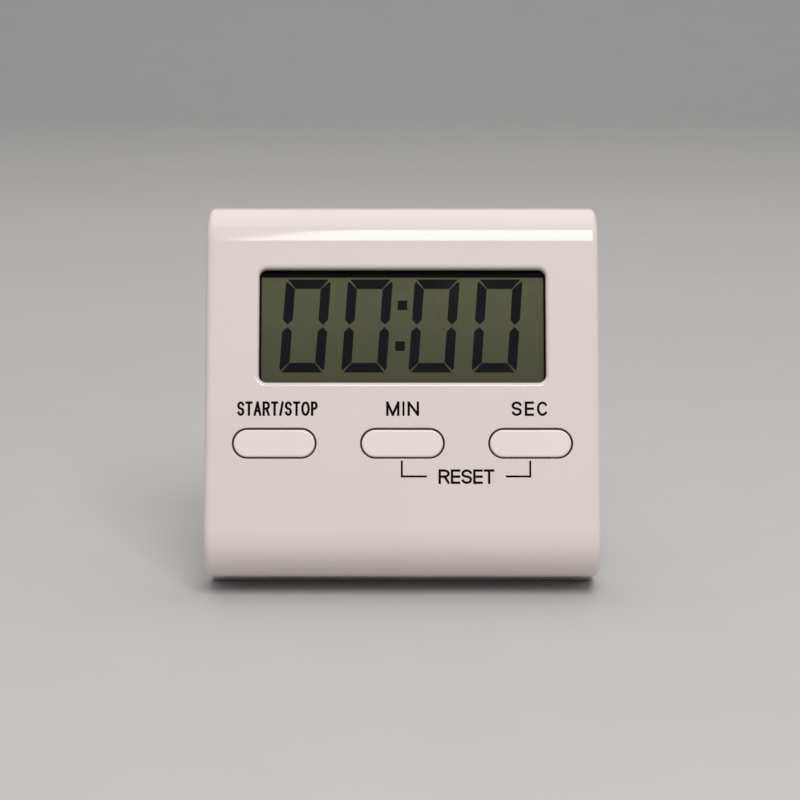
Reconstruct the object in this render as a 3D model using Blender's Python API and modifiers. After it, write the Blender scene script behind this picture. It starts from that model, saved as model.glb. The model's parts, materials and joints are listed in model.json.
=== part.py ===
"""Three-button countdown timer, leaning back on its fold-out stand. Metres, +Z up.

Every piece is modelled in the case's own frame: X to the right, Y from the face to the back, Z up the
face, with its origin at the middle of the underside. The case_frame empty then leans the whole timer back
until it stands on its rear lower edge and on the foot of the stand.
"""

import math

import bmesh
import bpy
from mathutils import Matrix, Vector

GAP = 0.0003
SEAT_GAP = 0.0001

# Case
WIDTH = 0.065
HEIGHT = 0.062
DEPTH = 0.017
WALL = 0.0018
FRONT_RADIUS = 0.007
BACK_RADIUS = 0.0015
SIDE_RADIUS = 0.0008
SEAM_Y = 0.004
LEAN = math.radians(20)
CASE_POST_RADIUS = 0.0022
COLLAR_RADIUS = 0.0026

# Display window
WINDOW_WIDTH = 0.0473
WINDOW_HEIGHT = 0.019
WINDOW_Z = 0.041
WINDOW_RADIUS = 0.0013
WINDOW_RIM = 0.0008

# Buttons
BUTTON_NAMES = ("start_stop", "minute", "second")
BUTTON_PITCH = 0.021
BUTTON_Z = 0.0214
BUTTON_LENGTH = 0.0133
BUTTON_HEIGHT = 0.0045
BUTTON_FLANGE = 0.0011
BUTTON_FLANGE_THICKNESS = 0.0008
BUTTON_STEM_RADIUS = 0.0015
DOME_SKIN = 0.0004
DOME_FOOT_RADIUS = 0.0045

# Display and board
GLASS_WIDTH = 0.053
GLASS_TOP = 0.053
FRONT_GLASS_HEIGHT = 0.0257
REAR_GLASS_HEIGHT = 0.0227
GLASS_THICKNESS = 0.001
FILM_THICKNESS = 0.0002
FILM_GAP = 0.0001
FILM_MARGIN = 0.001
BOARD_WIDTH = 0.058
BOARD_BOTTOM = 0.0165
BOARD_TOP = 0.0552
BOARD_THICKNESS = 0.0012
BOARD_FRONT_Y = -0.0017
BOARD_SCREW_X = 0.0105
BOARD_SCREW_Z = 0.02
BOARD_HOLE_RADIUS = 0.0013
BOARD_POST_RADIUS = 0.0017
CHIP_HEIGHT = 0.0008

# Battery and its bay
BATTERY_RADIUS = 0.00525
BATTERY_BODY = 0.0433
BATTERY_EDGE = 0.0003
NUB_RADIUS = 0.0019
NUB_LENGTH = 0.0012
BATTERY_Y = 0.00135
BATTERY_Z = 0.0089
BAY_HALF = 0.025
BAY_WALL = 0.0012
BAY_LOW_Z = 0.0033
BAY_HIGH_Z = 0.0145
BAY_FRONT_Y = -0.0042
BAY_OUTER_ROUND = 0.005
BAY_INNER_ROUND = 0.0038
CONTACT_THICKNESS = 0.0004
TAB_RISE = 0.0028
DOOR_HALF = 0.0256
DOOR_LOW_Z = 0.00175
DOOR_HIGH_Z = 0.0152
DOOR_THICKNESS = 0.0015
DOOR_HINGE_Y = 0.0079
DOOR_HINGE_Z = 0.00245
DOOR_PIN_RADIUS = 0.00045
DOOR_PIN_LENGTH = 0.001
DOOR_GROOVE_PITCH = 0.0014
DOOR_GROOVE_HALF = 0.004
DOOR_GROOVE_STEP = 0.0006

# Stand
HINGE_Y = 0.0069
HINGE_Z = 0.02
HINGE_PIN_RADIUS = 0.0009
HINGE_PIN_LENGTH = 0.002
PIN_PLAY = 0.00025
STAND_WIDTH = 0.046
STAND_LENGTH = 0.03
STAND_ARM = 0.0045
STAND_BAR = 0.006
STAND_THICKNESS = 0.0023
STAND_OFFSET = 0.00025
STAND_INNER_CORNER = 0.0008
STAND_OUTER_CORNER = 0.003
FOOT_CUT = 0.0006
RECESS_FLOOR_Y = 0.0054
RECESS_MARGIN = 0.0004
RECESS_HEEL = 0.0013
PAD_INNER_Y = 0.0042

# Magnets, buzzer and screws
MAGNET_RADIUS = 0.005
MAGNET_THICKNESS = 0.002
MAGNET_X = 0.0115
MAGNET_Z = 0.0365
MAGNET_RECESS = 0.0002
BUZZER_Z = 0.027
BUZZER_RADIUS = 0.0075
CERAMIC_RADIUS = 0.005
BUZZER_RING_Y = 0.0052
BUZZER_RING_WALL = 0.0006
BUZZER_LEDGE = 0.001
BUZZER_DISC_THICKNESS = 0.0002
SOUND_HOLE_RADIUS = 0.0007
SOUND_RING_RADIUS = 0.0028
SCREW_X = 0.0287
SCREW_LOW_Z = 0.007
SCREW_HIGH_Z = 0.0578
SCREW_HEAD_RADIUS = 0.0019
SCREW_HEAD_HEIGHT = 0.0012
SCREW_SHANK_RADIUS = 0.001
SCREW_LENGTH = 0.0075
SCREW_HEAD_Y = 0.0063
CROSS_HALF_LENGTH = 0.0009
CROSS_HALF_WIDTH = 0.00022
CROSS_DEPTH = 0.0007
WIRE_RADIUS = 0.00045

FRONT_Y = -DEPTH / 2
BACK_Y = DEPTH / 2
INNER_FRONT_Y = FRONT_Y + WALL
INNER_BACK_Y = BACK_Y - WALL
BOARD_BACK_Y = BOARD_FRONT_Y + BOARD_THICKNESS
FLANGE_FRONT_Y = INNER_FRONT_Y + GAP
FLANGE_BACK_Y = FLANGE_FRONT_Y + BUTTON_FLANGE_THICKNESS
STEM_END_Y = -0.0042
DOME_TOP_Y = STEM_END_Y + GAP
POLARISER_Y = INNER_FRONT_Y + 0.00025
FRONT_GLASS_Y = POLARISER_Y + FILM_THICKNESS + FILM_GAP
REAR_GLASS_Y = FRONT_GLASS_Y + GLASS_THICKNESS + FILM_GAP
REFLECTOR_Y = REAR_GLASS_Y + GLASS_THICKNESS + FILM_GAP

# name: colour, roughness, metallic
FINISHES = {
    "case_plastic": ((0.86, 0.76, 0.73), 0.25, 0.0),
    "cover_plastic": ((0.84, 0.75, 0.72), 0.4, 0.0),
    "key_plastic": ((0.86, 0.77, 0.74), 0.3, 0.0),
    "film": ((0.12, 0.12, 0.07), 0.3, 0.0),
    "reflector": ((0.5, 0.5, 0.46), 0.4, 0.4),
    "glass": ((0.55, 0.6, 0.55), 0.1, 0.0),
    "holder_plastic": ((0.75, 0.75, 0.72), 0.5, 0.0),
    "contact_rubber": ((0.35, 0.36, 0.4), 0.7, 0.0),
    "board": ((0.03, 0.16, 0.07), 0.45, 0.0),
    "epoxy": ((0.02, 0.02, 0.02), 0.35, 0.0),
    "steel": ((0.6, 0.6, 0.61), 0.3, 1.0),
    "ceramic": ((0.55, 0.4, 0.25), 0.6, 0.0),
    "dome_rubber": ((0.6, 0.6, 0.6), 0.65, 0.0),
    "brass": ((0.75, 0.55, 0.22), 0.35, 1.0),
    "red_wire": ((0.6, 0.03, 0.03), 0.5, 0.0),
    "black_wire": ((0.02, 0.02, 0.02), 0.5, 0.0),
    "battery_jacket": ((0.08, 0.09, 0.1), 0.35, 0.0),
    "magnet_coat": ((0.5, 0.5, 0.5), 0.25, 1.0),
}


def clear_scene():
    for old in list(bpy.data.objects):
        bpy.data.objects.remove(old)


def new_collection(name):
    collection = bpy.data.collections.new(name)
    bpy.context.scene.collection.children.link(collection)
    return collection


def new_material(name, colour, roughness, metallic):
    material = bpy.data.materials.new(name)
    material.use_nodes = True
    shader = material.node_tree.nodes["Principled BSDF"]
    shader.inputs["Base Color"].default_value = (*colour, 1)
    shader.inputs["Roughness"].default_value = roughness
    shader.inputs["Metallic"].default_value = metallic
    return material


def new_empty(name, location, rotation, parent=None):
    empty = bpy.data.objects.new(name, None)
    timer.objects.link(empty)
    empty.location = location
    empty.rotation_euler = rotation
    empty.parent = parent
    return empty


def link_part(part, finish, parent, location=(0, 0, 0)):
    """Puts a finished piece on the timer, in its place and its material."""
    timer.objects.link(part)
    part.parent = parent
    part.location = location
    part.data.materials.clear()
    part.data.materials.append(materials[finish])
    if part.type == "MESH":
        part.data.shade_smooth()
        part.data.set_sharp_from_angle(angle=math.radians(35))
    return part


def link_helper(helper, location=(0, 0, 0)):
    """Keeps a cutter or a shape to be joined out of the render."""
    cutters.objects.link(helper)
    helper.parent = case_frame
    helper.location = location
    helper.hide_render = True
    helper.display_type = "WIRE"
    return helper


def mesh_object(name, bm):
    mesh = bpy.data.meshes.new(name)
    bmesh.ops.recalc_face_normals(bm, faces=bm.faces)
    bm.to_mesh(mesh)
    bm.free()
    return bpy.data.objects.new(name, mesh)


def boolean(part, other, operation):
    modifier = part.modifiers.new(other.name, "BOOLEAN")
    modifier.operation = operation
    modifier.object = other


def cut(part, *helpers):
    for helper in helpers:
        boolean(part, helper, "DIFFERENCE")


def join(part, *helpers):
    for helper in helpers:
        boolean(part, helper, "UNION")


def edges_along_x(bm, y=None, z=None):
    """The edges that run along X at this depth or height."""
    found = []
    for edge in bm.edges:
        first, last = edge.verts[0].co, edge.verts[1].co
        if abs(first.x - last.x) < 1e-6:
            continue
        if y is not None and max(abs(first.y - y), abs(last.y - y)) > 1e-6:
            continue
        if z is not None and max(abs(first.z - z), abs(last.z - z)) > 1e-6:
            continue
        found.append(edge)
    return found


def round_edges(bm, edges, radius, segments):
    bmesh.ops.bevel(
        bm, geom=edges, offset=radius, segments=segments, profile=0.5, affect="EDGES", clamp_overlap=True
    )


def side_rims(bm, low, high, open_y):
    """The outlines of the two end faces, without their edge at the open side."""
    found = []
    for edge in bm.edges:
        ends = [vertex.co for vertex in edge.verts]
        on_side = any(all(abs(end.x - side) < 1e-6 for end in ends) for side in (low, high))
        if on_side and not all(abs(end.y - open_y) < 1e-6 for end in ends):
            found.append(edge)
    return found


def block(name, low, high, front_radius=0, back_radius=0, side_radius=0, open_y=None):
    """A box between two corners, whose long edges at the front and back can be rounded."""
    low, high = Vector(low), Vector(high)
    bm = bmesh.new()
    size = Matrix.Diagonal((*(high - low), 1))
    bmesh.ops.create_cube(bm, size=1, matrix=Matrix.Translation((low + high) / 2) @ size)
    if front_radius:
        round_edges(bm, edges_along_x(bm, y=low.y), front_radius, 8)
    if back_radius:
        round_edges(bm, edges_along_x(bm, y=high.y), back_radius, 4)
    if side_radius:
        round_edges(bm, side_rims(bm, low.x, high.x, open_y), side_radius, 2)
    return mesh_object(name, bm)


def rod(name, radius, length, axis, segments=24):
    """A cylinder centred on its object's origin, along X or Y."""
    bm = bmesh.new()
    turn = Matrix.Rotation(math.pi / 2, 4, "Y" if axis == "X" else "X")
    bmesh.ops.create_cone(
        bm, cap_ends=True, segments=segments, radius1=radius, radius2=radius, depth=length, matrix=turn
    )
    return mesh_object(name, bm)


def rounded_outline(corners, radius, steps=5):
    """The corners of a flat shape, listed in turn, each replaced by an arc of this radius."""
    outline = []
    count = len(corners)
    radii = radius if isinstance(radius, (list, tuple)) else [radius] * count
    for index, corner in enumerate(corners):
        here = Vector(corner)
        before = (Vector(corners[index - 1]) - here).normalized()
        after = (Vector(corners[(index + 1) % count]) - here).normalized()
        if not radii[index]:
            outline.append(here)
            continue
        half = before.angle(after) / 2
        centre = here + (before + after).normalized() * radii[index] / math.sin(half)
        start = here + before * radii[index] / math.tan(half) - centre
        end = here + after * radii[index] / math.tan(half) - centre
        sweep = start.angle_signed(end)
        for step in range(steps + 1):
            turn = Matrix.Rotation(-sweep * step / steps, 2)
            outline.append(centre + turn @ start)
    return outline


def rectangle(width, height, radius=0, steps=5):
    """A rectangle round the origin. Just under half its height as the radius makes it a pill."""
    right, top = width / 2, height / 2
    corners = [(-right, -top), (right, -top), (right, top), (-right, top)]
    return rounded_outline(corners, radius, steps)


def pill(length, height, steps=8):
    return rectangle(length, height, height / 2 * 0.995, steps)


def plate(name, outlines, thickness):
    """A flat piece in the XZ plane, centred on its thickness. Outlines after the first are its holes."""
    curve = bpy.data.curves.new(name, "CURVE")
    curve.dimensions = "2D"
    curve.fill_mode = "BOTH"
    curve.extrude = thickness / 2
    for outline in outlines:
        spline = curve.splines.new("POLY")
        spline.points.add(len(outline) - 1)
        for point, (x, z) in zip(spline.points, outline):
            point.co = (x, z, 0, 1)
        spline.use_cyclic_u = True
    source = bpy.data.objects.new(name, curve)
    cutters.objects.link(source)
    graph = bpy.context.evaluated_depsgraph_get()
    flat = bpy.data.meshes.new_from_object(source.evaluated_get(graph))
    bpy.data.objects.remove(source)
    bm = bmesh.new()
    bm.from_mesh(flat)
    bmesh.ops.remove_doubles(bm, verts=bm.verts, dist=1e-7)
    bm.transform(Matrix.Rotation(math.pi / 2, 4, "X"))
    return mesh_object(name, bm)


def flared_plate(name, outline, thickness, flare):
    """A plate whose face towards -Y is wider all round than its face towards +Y."""
    part = plate(name, [outline], thickness)
    width = max(point[0] for point in outline)
    height = max(point[1] for point in outline)
    for vertex in part.data.vertices:
        if vertex.co.y < 0:
            vertex.co.x *= (width + flare) / width
            vertex.co.z *= (height + flare) / height
    return part


def turned(name, profile, segments=24):
    """A solid of revolution from (radius, height) points that run down its outer side, about local +Z."""
    mesh = bpy.data.meshes.new(name)
    edges = [(index, index + 1) for index in range(len(profile) - 1)]
    mesh.from_pydata([(radius, 0, height) for radius, height in profile], edges, [])
    part = bpy.data.objects.new(name, mesh)
    screw = part.modifiers.new("Turn", "SCREW")
    screw.axis = "Z"
    screw.steps = segments
    screw.render_steps = segments
    screw.use_merge_vertices = True
    screw.merge_threshold = 0.00001
    return part


def smooth_route(points, steps):
    """Points read from a smooth curve through the route's own points."""
    points = [Vector(point) for point in points]
    padded = [points[0] * 2 - points[1], *points, points[-1] * 2 - points[-2]]
    route = []
    for before, start, end, after in zip(padded, padded[1:], padded[2:], padded[3:]):
        for step in range(steps):
            t = step / steps
            route.append(
                0.5
                * (
                    2 * start
                    + (end - before) * t
                    + (2 * before - 5 * start + 4 * end - after) * t**2
                    + (3 * start - before - 3 * end + after) * t**3
                )
            )
    return [*route, points[-1]]


def wire(name, route, radius, finish):
    curve = bpy.data.curves.new(name, "CURVE")
    curve.dimensions = "3D"
    curve.bevel_depth = radius
    curve.bevel_resolution = 2
    curve.use_fill_caps = True
    spline = curve.splines.new("POLY")
    spline.points.add(len(route) - 1)
    for point, place in zip(spline.points, route):
        point.co = (*place, 1)
    return link_part(bpy.data.objects.new(name, curve), finish, case_frame)


def button_places():
    return [(name, (index - 1) * BUTTON_PITCH) for index, name in enumerate(BUTTON_NAMES)]


def screw_places():
    return [(x, z) for z in (SCREW_LOW_Z, SCREW_HIGH_Z) for x in (-SCREW_X, SCREW_X)]


def make_front_case():
    front = block(
        "front_case",
        (-WIDTH / 2, FRONT_Y, 0),
        (WIDTH / 2, SEAM_Y - GAP / 2, HEIGHT),
        front_radius=FRONT_RADIUS,
        side_radius=SIDE_RADIUS,
        open_y=SEAM_Y - GAP / 2,
    )
    link_part(front, "case_plastic", case_frame)
    hollow = block(
        "front_hollow",
        (-WIDTH / 2 + WALL, INNER_FRONT_Y, WALL),
        (WIDTH / 2 - WALL, BACK_Y, HEIGHT - WALL),
        front_radius=FRONT_RADIUS - WALL,
    )
    cut(front, link_helper(hollow))
    add_front_posts(front)
    window = plate("window_cutter", [rectangle(WINDOW_WIDTH, WINDOW_HEIGHT, WINDOW_RADIUS)], WALL * 4)
    cut(front, link_helper(window, (0, FRONT_Y, WINDOW_Z)))
    rim = flared_plate(
        "window_rim_cutter",
        rectangle(WINDOW_WIDTH, WINDOW_HEIGHT, WINDOW_RADIUS),
        WINDOW_RIM * 2,
        WINDOW_RIM * 2,
    )
    cut(front, link_helper(rim, (0, FRONT_Y, WINDOW_Z)))
    for name, x in button_places():
        hole = plate(name + "_hole", [pill(BUTTON_LENGTH + 2 * GAP, BUTTON_HEIGHT + 2 * GAP)], WALL * 4)
        cut(front, link_helper(hole, (x, FRONT_Y, BUTTON_Z)))
    return front


def add_front_posts(front):
    """Posts for the case screws and the board screws, with their pilot holes."""
    flat_root = INNER_FRONT_Y - WALL / 4
    curved_root = INNER_FRONT_Y + WALL * 2 / 3
    posts = []
    for index, (x, z) in enumerate(screw_places()):
        root = flat_root if z == SCREW_LOW_Z else curved_root
        posts.append((f"case_post_{index}", x, z, CASE_POST_RADIUS, root, SEAM_Y))
    for index, x in enumerate((-BOARD_SCREW_X, BOARD_SCREW_X)):
        tip = BOARD_FRONT_Y - GAP
        posts.append((f"board_post_{index}", x, BOARD_SCREW_Z, BOARD_POST_RADIUS, flat_root, tip))
    for name, x, z, radius, root, tip in posts:
        join(front, link_helper(rod(name, radius, tip - root, "Y", 20), (x, (root + tip) / 2, z)))
    for name, x, z, radius, root, tip in posts:
        pilot = rod(name + "_pilot", SCREW_SHANK_RADIUS + GAP, tip - root, "Y", 16)
        cut(front, link_helper(pilot, (x, (root + tip) / 2 + WALL, z)))


def make_rear_cover():
    rear = block(
        "rear_cover",
        (-WIDTH / 2, SEAM_Y + GAP / 2, 0),
        (WIDTH / 2, BACK_Y, HEIGHT),
        back_radius=BACK_RADIUS,
        side_radius=SIDE_RADIUS,
        open_y=SEAM_Y + GAP / 2,
    )
    link_part(rear, "cover_plastic", case_frame)
    hollow = block(
        "rear_hollow",
        (-WIDTH / 2 + WALL, FRONT_Y, WALL),
        (WIDTH / 2 - WALL, INNER_BACK_Y, HEIGHT - WALL),
    )
    cut(rear, link_helper(hollow))
    add_battery_bay(rear)
    add_stand_recess(rear)
    add_magnet_pockets(rear)
    add_rear_posts(rear)
    add_buzzer_ring(rear)
    return rear


def add_battery_bay(rear):
    tub = block(
        "bay_tub",
        (-BAY_HALF - BAY_WALL, BAY_FRONT_Y - BAY_WALL, BAY_LOW_Z - BAY_WALL),
        (BAY_HALF + BAY_WALL, BACK_Y - WALL / 2, BAY_HIGH_Z + BAY_WALL),
        front_radius=BAY_OUTER_ROUND,
    )
    join(rear, link_helper(tub))
    bay = block(
        "bay_cutter",
        (-BAY_HALF, BAY_FRONT_Y, BAY_LOW_Z),
        (BAY_HALF, BACK_Y + WALL, BAY_HIGH_Z),
        front_radius=BAY_INNER_ROUND,
    )
    door_seat = block(
        "door_seat_cutter",
        (-DOOR_HALF - GAP, BACK_Y - DOOR_THICKNESS - GAP, DOOR_LOW_Z - GAP),
        (DOOR_HALF + GAP, BACK_Y + WALL, DOOR_HIGH_Z + GAP),
    )
    cut(rear, link_helper(bay), link_helper(door_seat))
    notch_half = DOOR_PIN_RADIUS + GAP
    for name, side in (("left", -1), ("right", 1)):
        notch = block(
            f"door_notch_{name}",
            (-DOOR_PIN_LENGTH - 2 * GAP, -notch_half, -notch_half),
            (DOOR_PIN_LENGTH + 2 * GAP, BACK_Y, notch_half),
        )
        cut(rear, link_helper(notch, (side * DOOR_HALF, DOOR_HINGE_Y, DOOR_HINGE_Z)))
        slot = block(
            f"contact_slot_{name}",
            (-0.0004, -0.0016, BAY_HIGH_Z - BAY_WALL),
            (0.0004, 0.0016, BAY_HIGH_Z + 2 * BAY_WALL),
        )
        cut(rear, link_helper(slot, (side * (BAY_HALF - 0.0004), BATTERY_Y, 0)))


def add_stand_recess(rear):
    """A U-shaped recess that the folded stand lies in, and the sockets of its hinge pins."""
    outer_x = STAND_WIDTH / 2 + RECESS_MARGIN
    inner_x = STAND_WIDTH / 2 - STAND_ARM - RECESS_MARGIN
    top = HINGE_Z + STAND_LENGTH + RECESS_MARGIN
    bottom = HINGE_Z - STAND_THICKNESS / 2 - RECESS_HEEL
    bar_z = HINGE_Z + STAND_LENGTH - STAND_BAR - RECESS_MARGIN
    pad = block(
        "stand_pad",
        (-outer_x - WALL, PAD_INNER_Y, bottom - BAY_WALL),
        (outer_x + WALL, BACK_Y - WALL / 2, top + BAY_WALL),
    )
    hollow = block(
        "pad_hollow",
        (-inner_x + BAY_WALL, 0, bottom - WALL),
        (inner_x - BAY_WALL, INNER_BACK_Y, bar_z - BAY_WALL),
    )
    join(rear, link_helper(pad))
    cut(rear, link_helper(hollow))
    for name, side in (("left", -1), ("right", 1)):
        near, far = sorted((side * inner_x, side * outer_x))
        arm = block(f"recess_arm_{name}", (near, RECESS_FLOOR_Y, bottom), (far, BACK_Y + WALL, top))
        socket = rod(f"pin_socket_{name}", HINGE_PIN_RADIUS + PIN_PLAY, 2 * HINGE_PIN_LENGTH, "X")
        cut(rear, link_helper(arm), link_helper(socket, (side * outer_x, HINGE_Y, HINGE_Z)))
    bar = block("recess_bar", (-outer_x + WALL, RECESS_FLOOR_Y, bar_z), (outer_x - WALL, BACK_Y + WALL, top))
    cut(rear, link_helper(bar))


def add_magnet_pockets(rear):
    for name, x in (("left", -MAGNET_X), ("right", MAGNET_X)):
        boss_length = MAGNET_THICKNESS + BAY_WALL
        boss = rod(f"magnet_boss_{name}", MAGNET_RADIUS + GAP + BAY_WALL, boss_length, "Y", 32)
        join(rear, link_helper(boss, (x, BACK_Y - WALL / 2 - boss_length / 2, MAGNET_Z)))
    for name, x in (("left", -MAGNET_X), ("right", MAGNET_X)):
        depth = MAGNET_THICKNESS + 2 * GAP
        pocket = rod(f"magnet_pocket_{name}", MAGNET_RADIUS + GAP, depth * 2, "Y", 32)
        cut(rear, link_helper(pocket, (x, BACK_Y, MAGNET_Z)))


def add_rear_posts(rear):
    """Collars round the case screws, with a pocket for each head."""
    start = SEAM_Y + GAP
    for index, (x, z) in enumerate(screw_places()):
        collar = rod(f"screw_collar_{index}", COLLAR_RADIUS, BACK_Y - WALL / 2 - start, "Y", 20)
        join(rear, link_helper(collar, (x, (BACK_Y - WALL / 2 + start) / 2, z)))
    for index, (x, z) in enumerate(screw_places()):
        hole = rod(f"screw_hole_{index}", SCREW_SHANK_RADIUS + GAP, DEPTH, "Y", 16)
        pocket_length = 2 * (BACK_Y - SCREW_HEAD_Y + GAP)
        pocket = rod(f"screw_pocket_{index}", SCREW_HEAD_RADIUS + GAP, pocket_length, "Y", 20)
        cut(rear, link_helper(hole, (x, BACK_Y, z)), link_helper(pocket, (x, BACK_Y, z)))


def add_buzzer_ring(rear):
    """A ring that the buzzer is glued to, and the holes that let its sound out."""
    length = INNER_BACK_Y - BUZZER_RING_Y + WALL / 2
    place = (0, BUZZER_RING_Y + length / 2, BUZZER_Z)
    ring = plate(
        "buzzer_ring",
        [circle(BUZZER_RADIUS + BUZZER_RING_WALL, 32), circle(BUZZER_RADIUS - BUZZER_LEDGE, 32)],
        length,
    )
    join(rear, link_helper(ring, place))
    reach = SOUND_RING_RADIUS
    spots = [(0, 0)] + [(reach * math.cos(turn), reach * math.sin(turn)) for turn in steps_round(6)]
    for index, (x, z) in enumerate(spots):
        hole = rod(f"sound_hole_{index}", SOUND_HOLE_RADIUS, WALL * 4, "Y", 12)
        cut(rear, link_helper(hole, (x, BACK_Y, BUZZER_Z + z)))


def steps_round(count):
    return [2 * math.pi * step / count for step in range(count)]


def circle(radius, count):
    return [(radius * math.cos(turn), radius * math.sin(turn)) for turn in steps_round(count)]


def make_button(name, x):
    """A key cap with a flange that keeps it in the case, and a stem that presses its dome."""
    cap_length = FLANGE_FRONT_Y + BUTTON_FLANGE_THICKNESS / 2 - FRONT_Y
    cap = plate(name + "_button", [pill(BUTTON_LENGTH, BUTTON_HEIGHT)], cap_length)
    for vertex in cap.data.vertices:
        vertex.co.y += cap_length / 2
    link_part(cap, "key_plastic", case_frame, (x, FRONT_Y, BUTTON_Z))
    flange = plate(
        name + "_flange",
        [pill(BUTTON_LENGTH + 2 * BUTTON_FLANGE, BUTTON_HEIGHT + 2 * BUTTON_FLANGE)],
        BUTTON_FLANGE_THICKNESS,
    )
    stem_start = FLANGE_BACK_Y - BUTTON_FLANGE_THICKNESS / 2
    stem = rod(name + "_stem", BUTTON_STEM_RADIUS, STEM_END_Y - stem_start, "Y", 20)
    join(
        cap,
        link_helper(flange, (x, (FLANGE_FRONT_Y + FLANGE_BACK_Y) / 2, BUTTON_Z)),
        link_helper(stem, (x, (STEM_END_Y + stem_start) / 2, BUTTON_Z)),
    )


def make_dome(name, x):
    """A hollow rubber dome on the board, open towards the board."""
    foot_y = BOARD_FRONT_Y - SEAT_GAP
    height = foot_y - DOME_TOP_Y
    skin = DOME_SKIN
    profile = [
        (0, height),
        (0.0022, height),
        (0.0034, skin * 2),
        (DOME_FOOT_RADIUS, skin * 2),
        (DOME_FOOT_RADIUS, 0),
        (0.003, 0),
        (0.0018, height - skin * 2),
        (0, height - skin * 2),
    ]
    dome = turned(name + "_dome", profile)
    dome.rotation_euler = (math.pi / 2, 0, 0)
    link_part(dome, "dome_rubber", case_frame, (x, foot_y, BUTTON_Z))


def make_buttons():
    for name, x in button_places():
        make_button(name, x)
        make_dome(name, x)


def make_sheet(name, finish, width, height, top, front_y, thickness):
    part = plate(name, [rectangle(width, height)], thickness)
    link_part(part, finish, case_frame, (0, front_y + thickness / 2, top - height / 2))


def make_display():
    film_width = GLASS_WIDTH - FILM_MARGIN
    film_top = GLASS_TOP - FILM_MARGIN / 2
    front, rear = FRONT_GLASS_HEIGHT, REAR_GLASS_HEIGHT
    make_sheet("lcd_polariser", "film", film_width, front - 0.003, film_top, POLARISER_Y, FILM_THICKNESS)
    make_sheet("lcd_front_glass", "glass", GLASS_WIDTH, front, GLASS_TOP, FRONT_GLASS_Y, GLASS_THICKNESS)
    make_sheet("lcd_rear_glass", "glass", GLASS_WIDTH, rear, GLASS_TOP, REAR_GLASS_Y, GLASS_THICKNESS)
    make_sheet("lcd_reflector", "reflector", film_width, rear - 0.001, film_top, REFLECTOR_Y, FILM_THICKNESS)
    inner = rectangle(GLASS_WIDTH + 2 * GAP, FRONT_GLASS_HEIGHT + 2 * GAP)
    outer = rectangle(GLASS_WIDTH + 0.004, FRONT_GLASS_HEIGHT + 0.0026, 0.001, 3)
    start, end = INNER_FRONT_Y + GAP, BOARD_FRONT_Y - GAP
    holder = plate("lcd_holder", [outer, inner], end - start)
    holder_place = (0, (start + end) / 2, GLASS_TOP - FRONT_GLASS_HEIGHT / 2)
    link_part(holder, "holder_plastic", case_frame, holder_place)
    strip_start = FRONT_GLASS_Y + GLASS_THICKNESS + FILM_GAP
    strip_end = BOARD_FRONT_Y - FILM_GAP
    ledge = GLASS_TOP - FRONT_GLASS_HEIGHT
    strip = block(
        "contact_strip",
        (-0.024, strip_start, ledge + 0.0004),
        (0.024, strip_end, ledge + 0.0022),
    )
    link_part(strip, "contact_rubber", case_frame)


def make_board():
    height = BOARD_TOP - BOARD_BOTTOM
    rise = BOARD_SCREW_Z - (BOARD_TOP + BOARD_BOTTOM) / 2
    hole = circle(BOARD_HOLE_RADIUS, 16)
    holes = [[(x + side * BOARD_SCREW_X, z + rise) for x, z in hole] for side in (-1, 1)]
    board = plate("circuit_board", [rectangle(BOARD_WIDTH, height, 0.001, 3), *holes], BOARD_THICKNESS)
    middle_y = BOARD_FRONT_Y + BOARD_THICKNESS / 2
    link_part(board, "board", case_frame, (0, middle_y, (BOARD_TOP + BOARD_BOTTOM) / 2))
    blob = turned("chip_cover", [(0, 0.0014), (0.0022, 0.0012), (0.0038, 0.0006), (0.0045, 0), (0, 0)])
    blob.rotation_euler = (-math.pi / 2, 0, 0)
    link_part(blob, "epoxy", case_frame, (0.009, BOARD_BACK_Y + SEAT_GAP, 0.046))
    crystal = rod("quartz_crystal", 0.001, 0.006, "X", 16)
    link_part(crystal, "steel", case_frame, (-0.009, BOARD_BACK_Y + 0.0011, 0.046))
    chips = (
        ("capacitor_left", "ceramic", -0.018),
        ("capacitor_right", "ceramic", -0.014),
        ("resistor", "epoxy", 0.018),
    )
    for name, finish, x in chips:
        chip = block(name, (-0.001, 0, -0.0006), (0.001, CHIP_HEIGHT, 0.0006))
        link_part(chip, finish, case_frame, (x, BOARD_BACK_Y + SEAT_GAP, 0.04))


def make_buzzer():
    disc_y = BUZZER_RING_Y - BUZZER_DISC_THICKNESS
    disc = rod("buzzer_disc", BUZZER_RADIUS, BUZZER_DISC_THICKNESS, "Y", 32)
    link_part(disc, "brass", case_frame, (0, disc_y, BUZZER_Z))
    ceramic = rod("buzzer_ceramic", CERAMIC_RADIUS, BUZZER_DISC_THICKNESS, "Y", 24)
    link_part(ceramic, "ceramic", case_frame, (0, disc_y - BUZZER_DISC_THICKNESS - SEAT_GAP, BUZZER_Z))
    start_y = BOARD_BACK_Y + WIRE_RADIUS + SEAT_GAP
    red = [
        (-0.006, start_y, 0.043),
        (-0.0062, 0.001, 0.0385),
        (-0.005, 0.0028, 0.034),
        (-0.0025, 0.0037, 0.029),
    ]
    black = [
        (0.003, start_y, 0.043),
        (0.0045, 0.0012, 0.039),
        (0.0062, 0.003, 0.034),
        (0.0063, 0.004, 0.0285),
    ]
    wire("buzzer_wire_red", smooth_route(red, 4), WIRE_RADIUS, "red_wire")
    wire("buzzer_wire_black", smooth_route(black, 4), WIRE_RADIUS, "black_wire")


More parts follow.
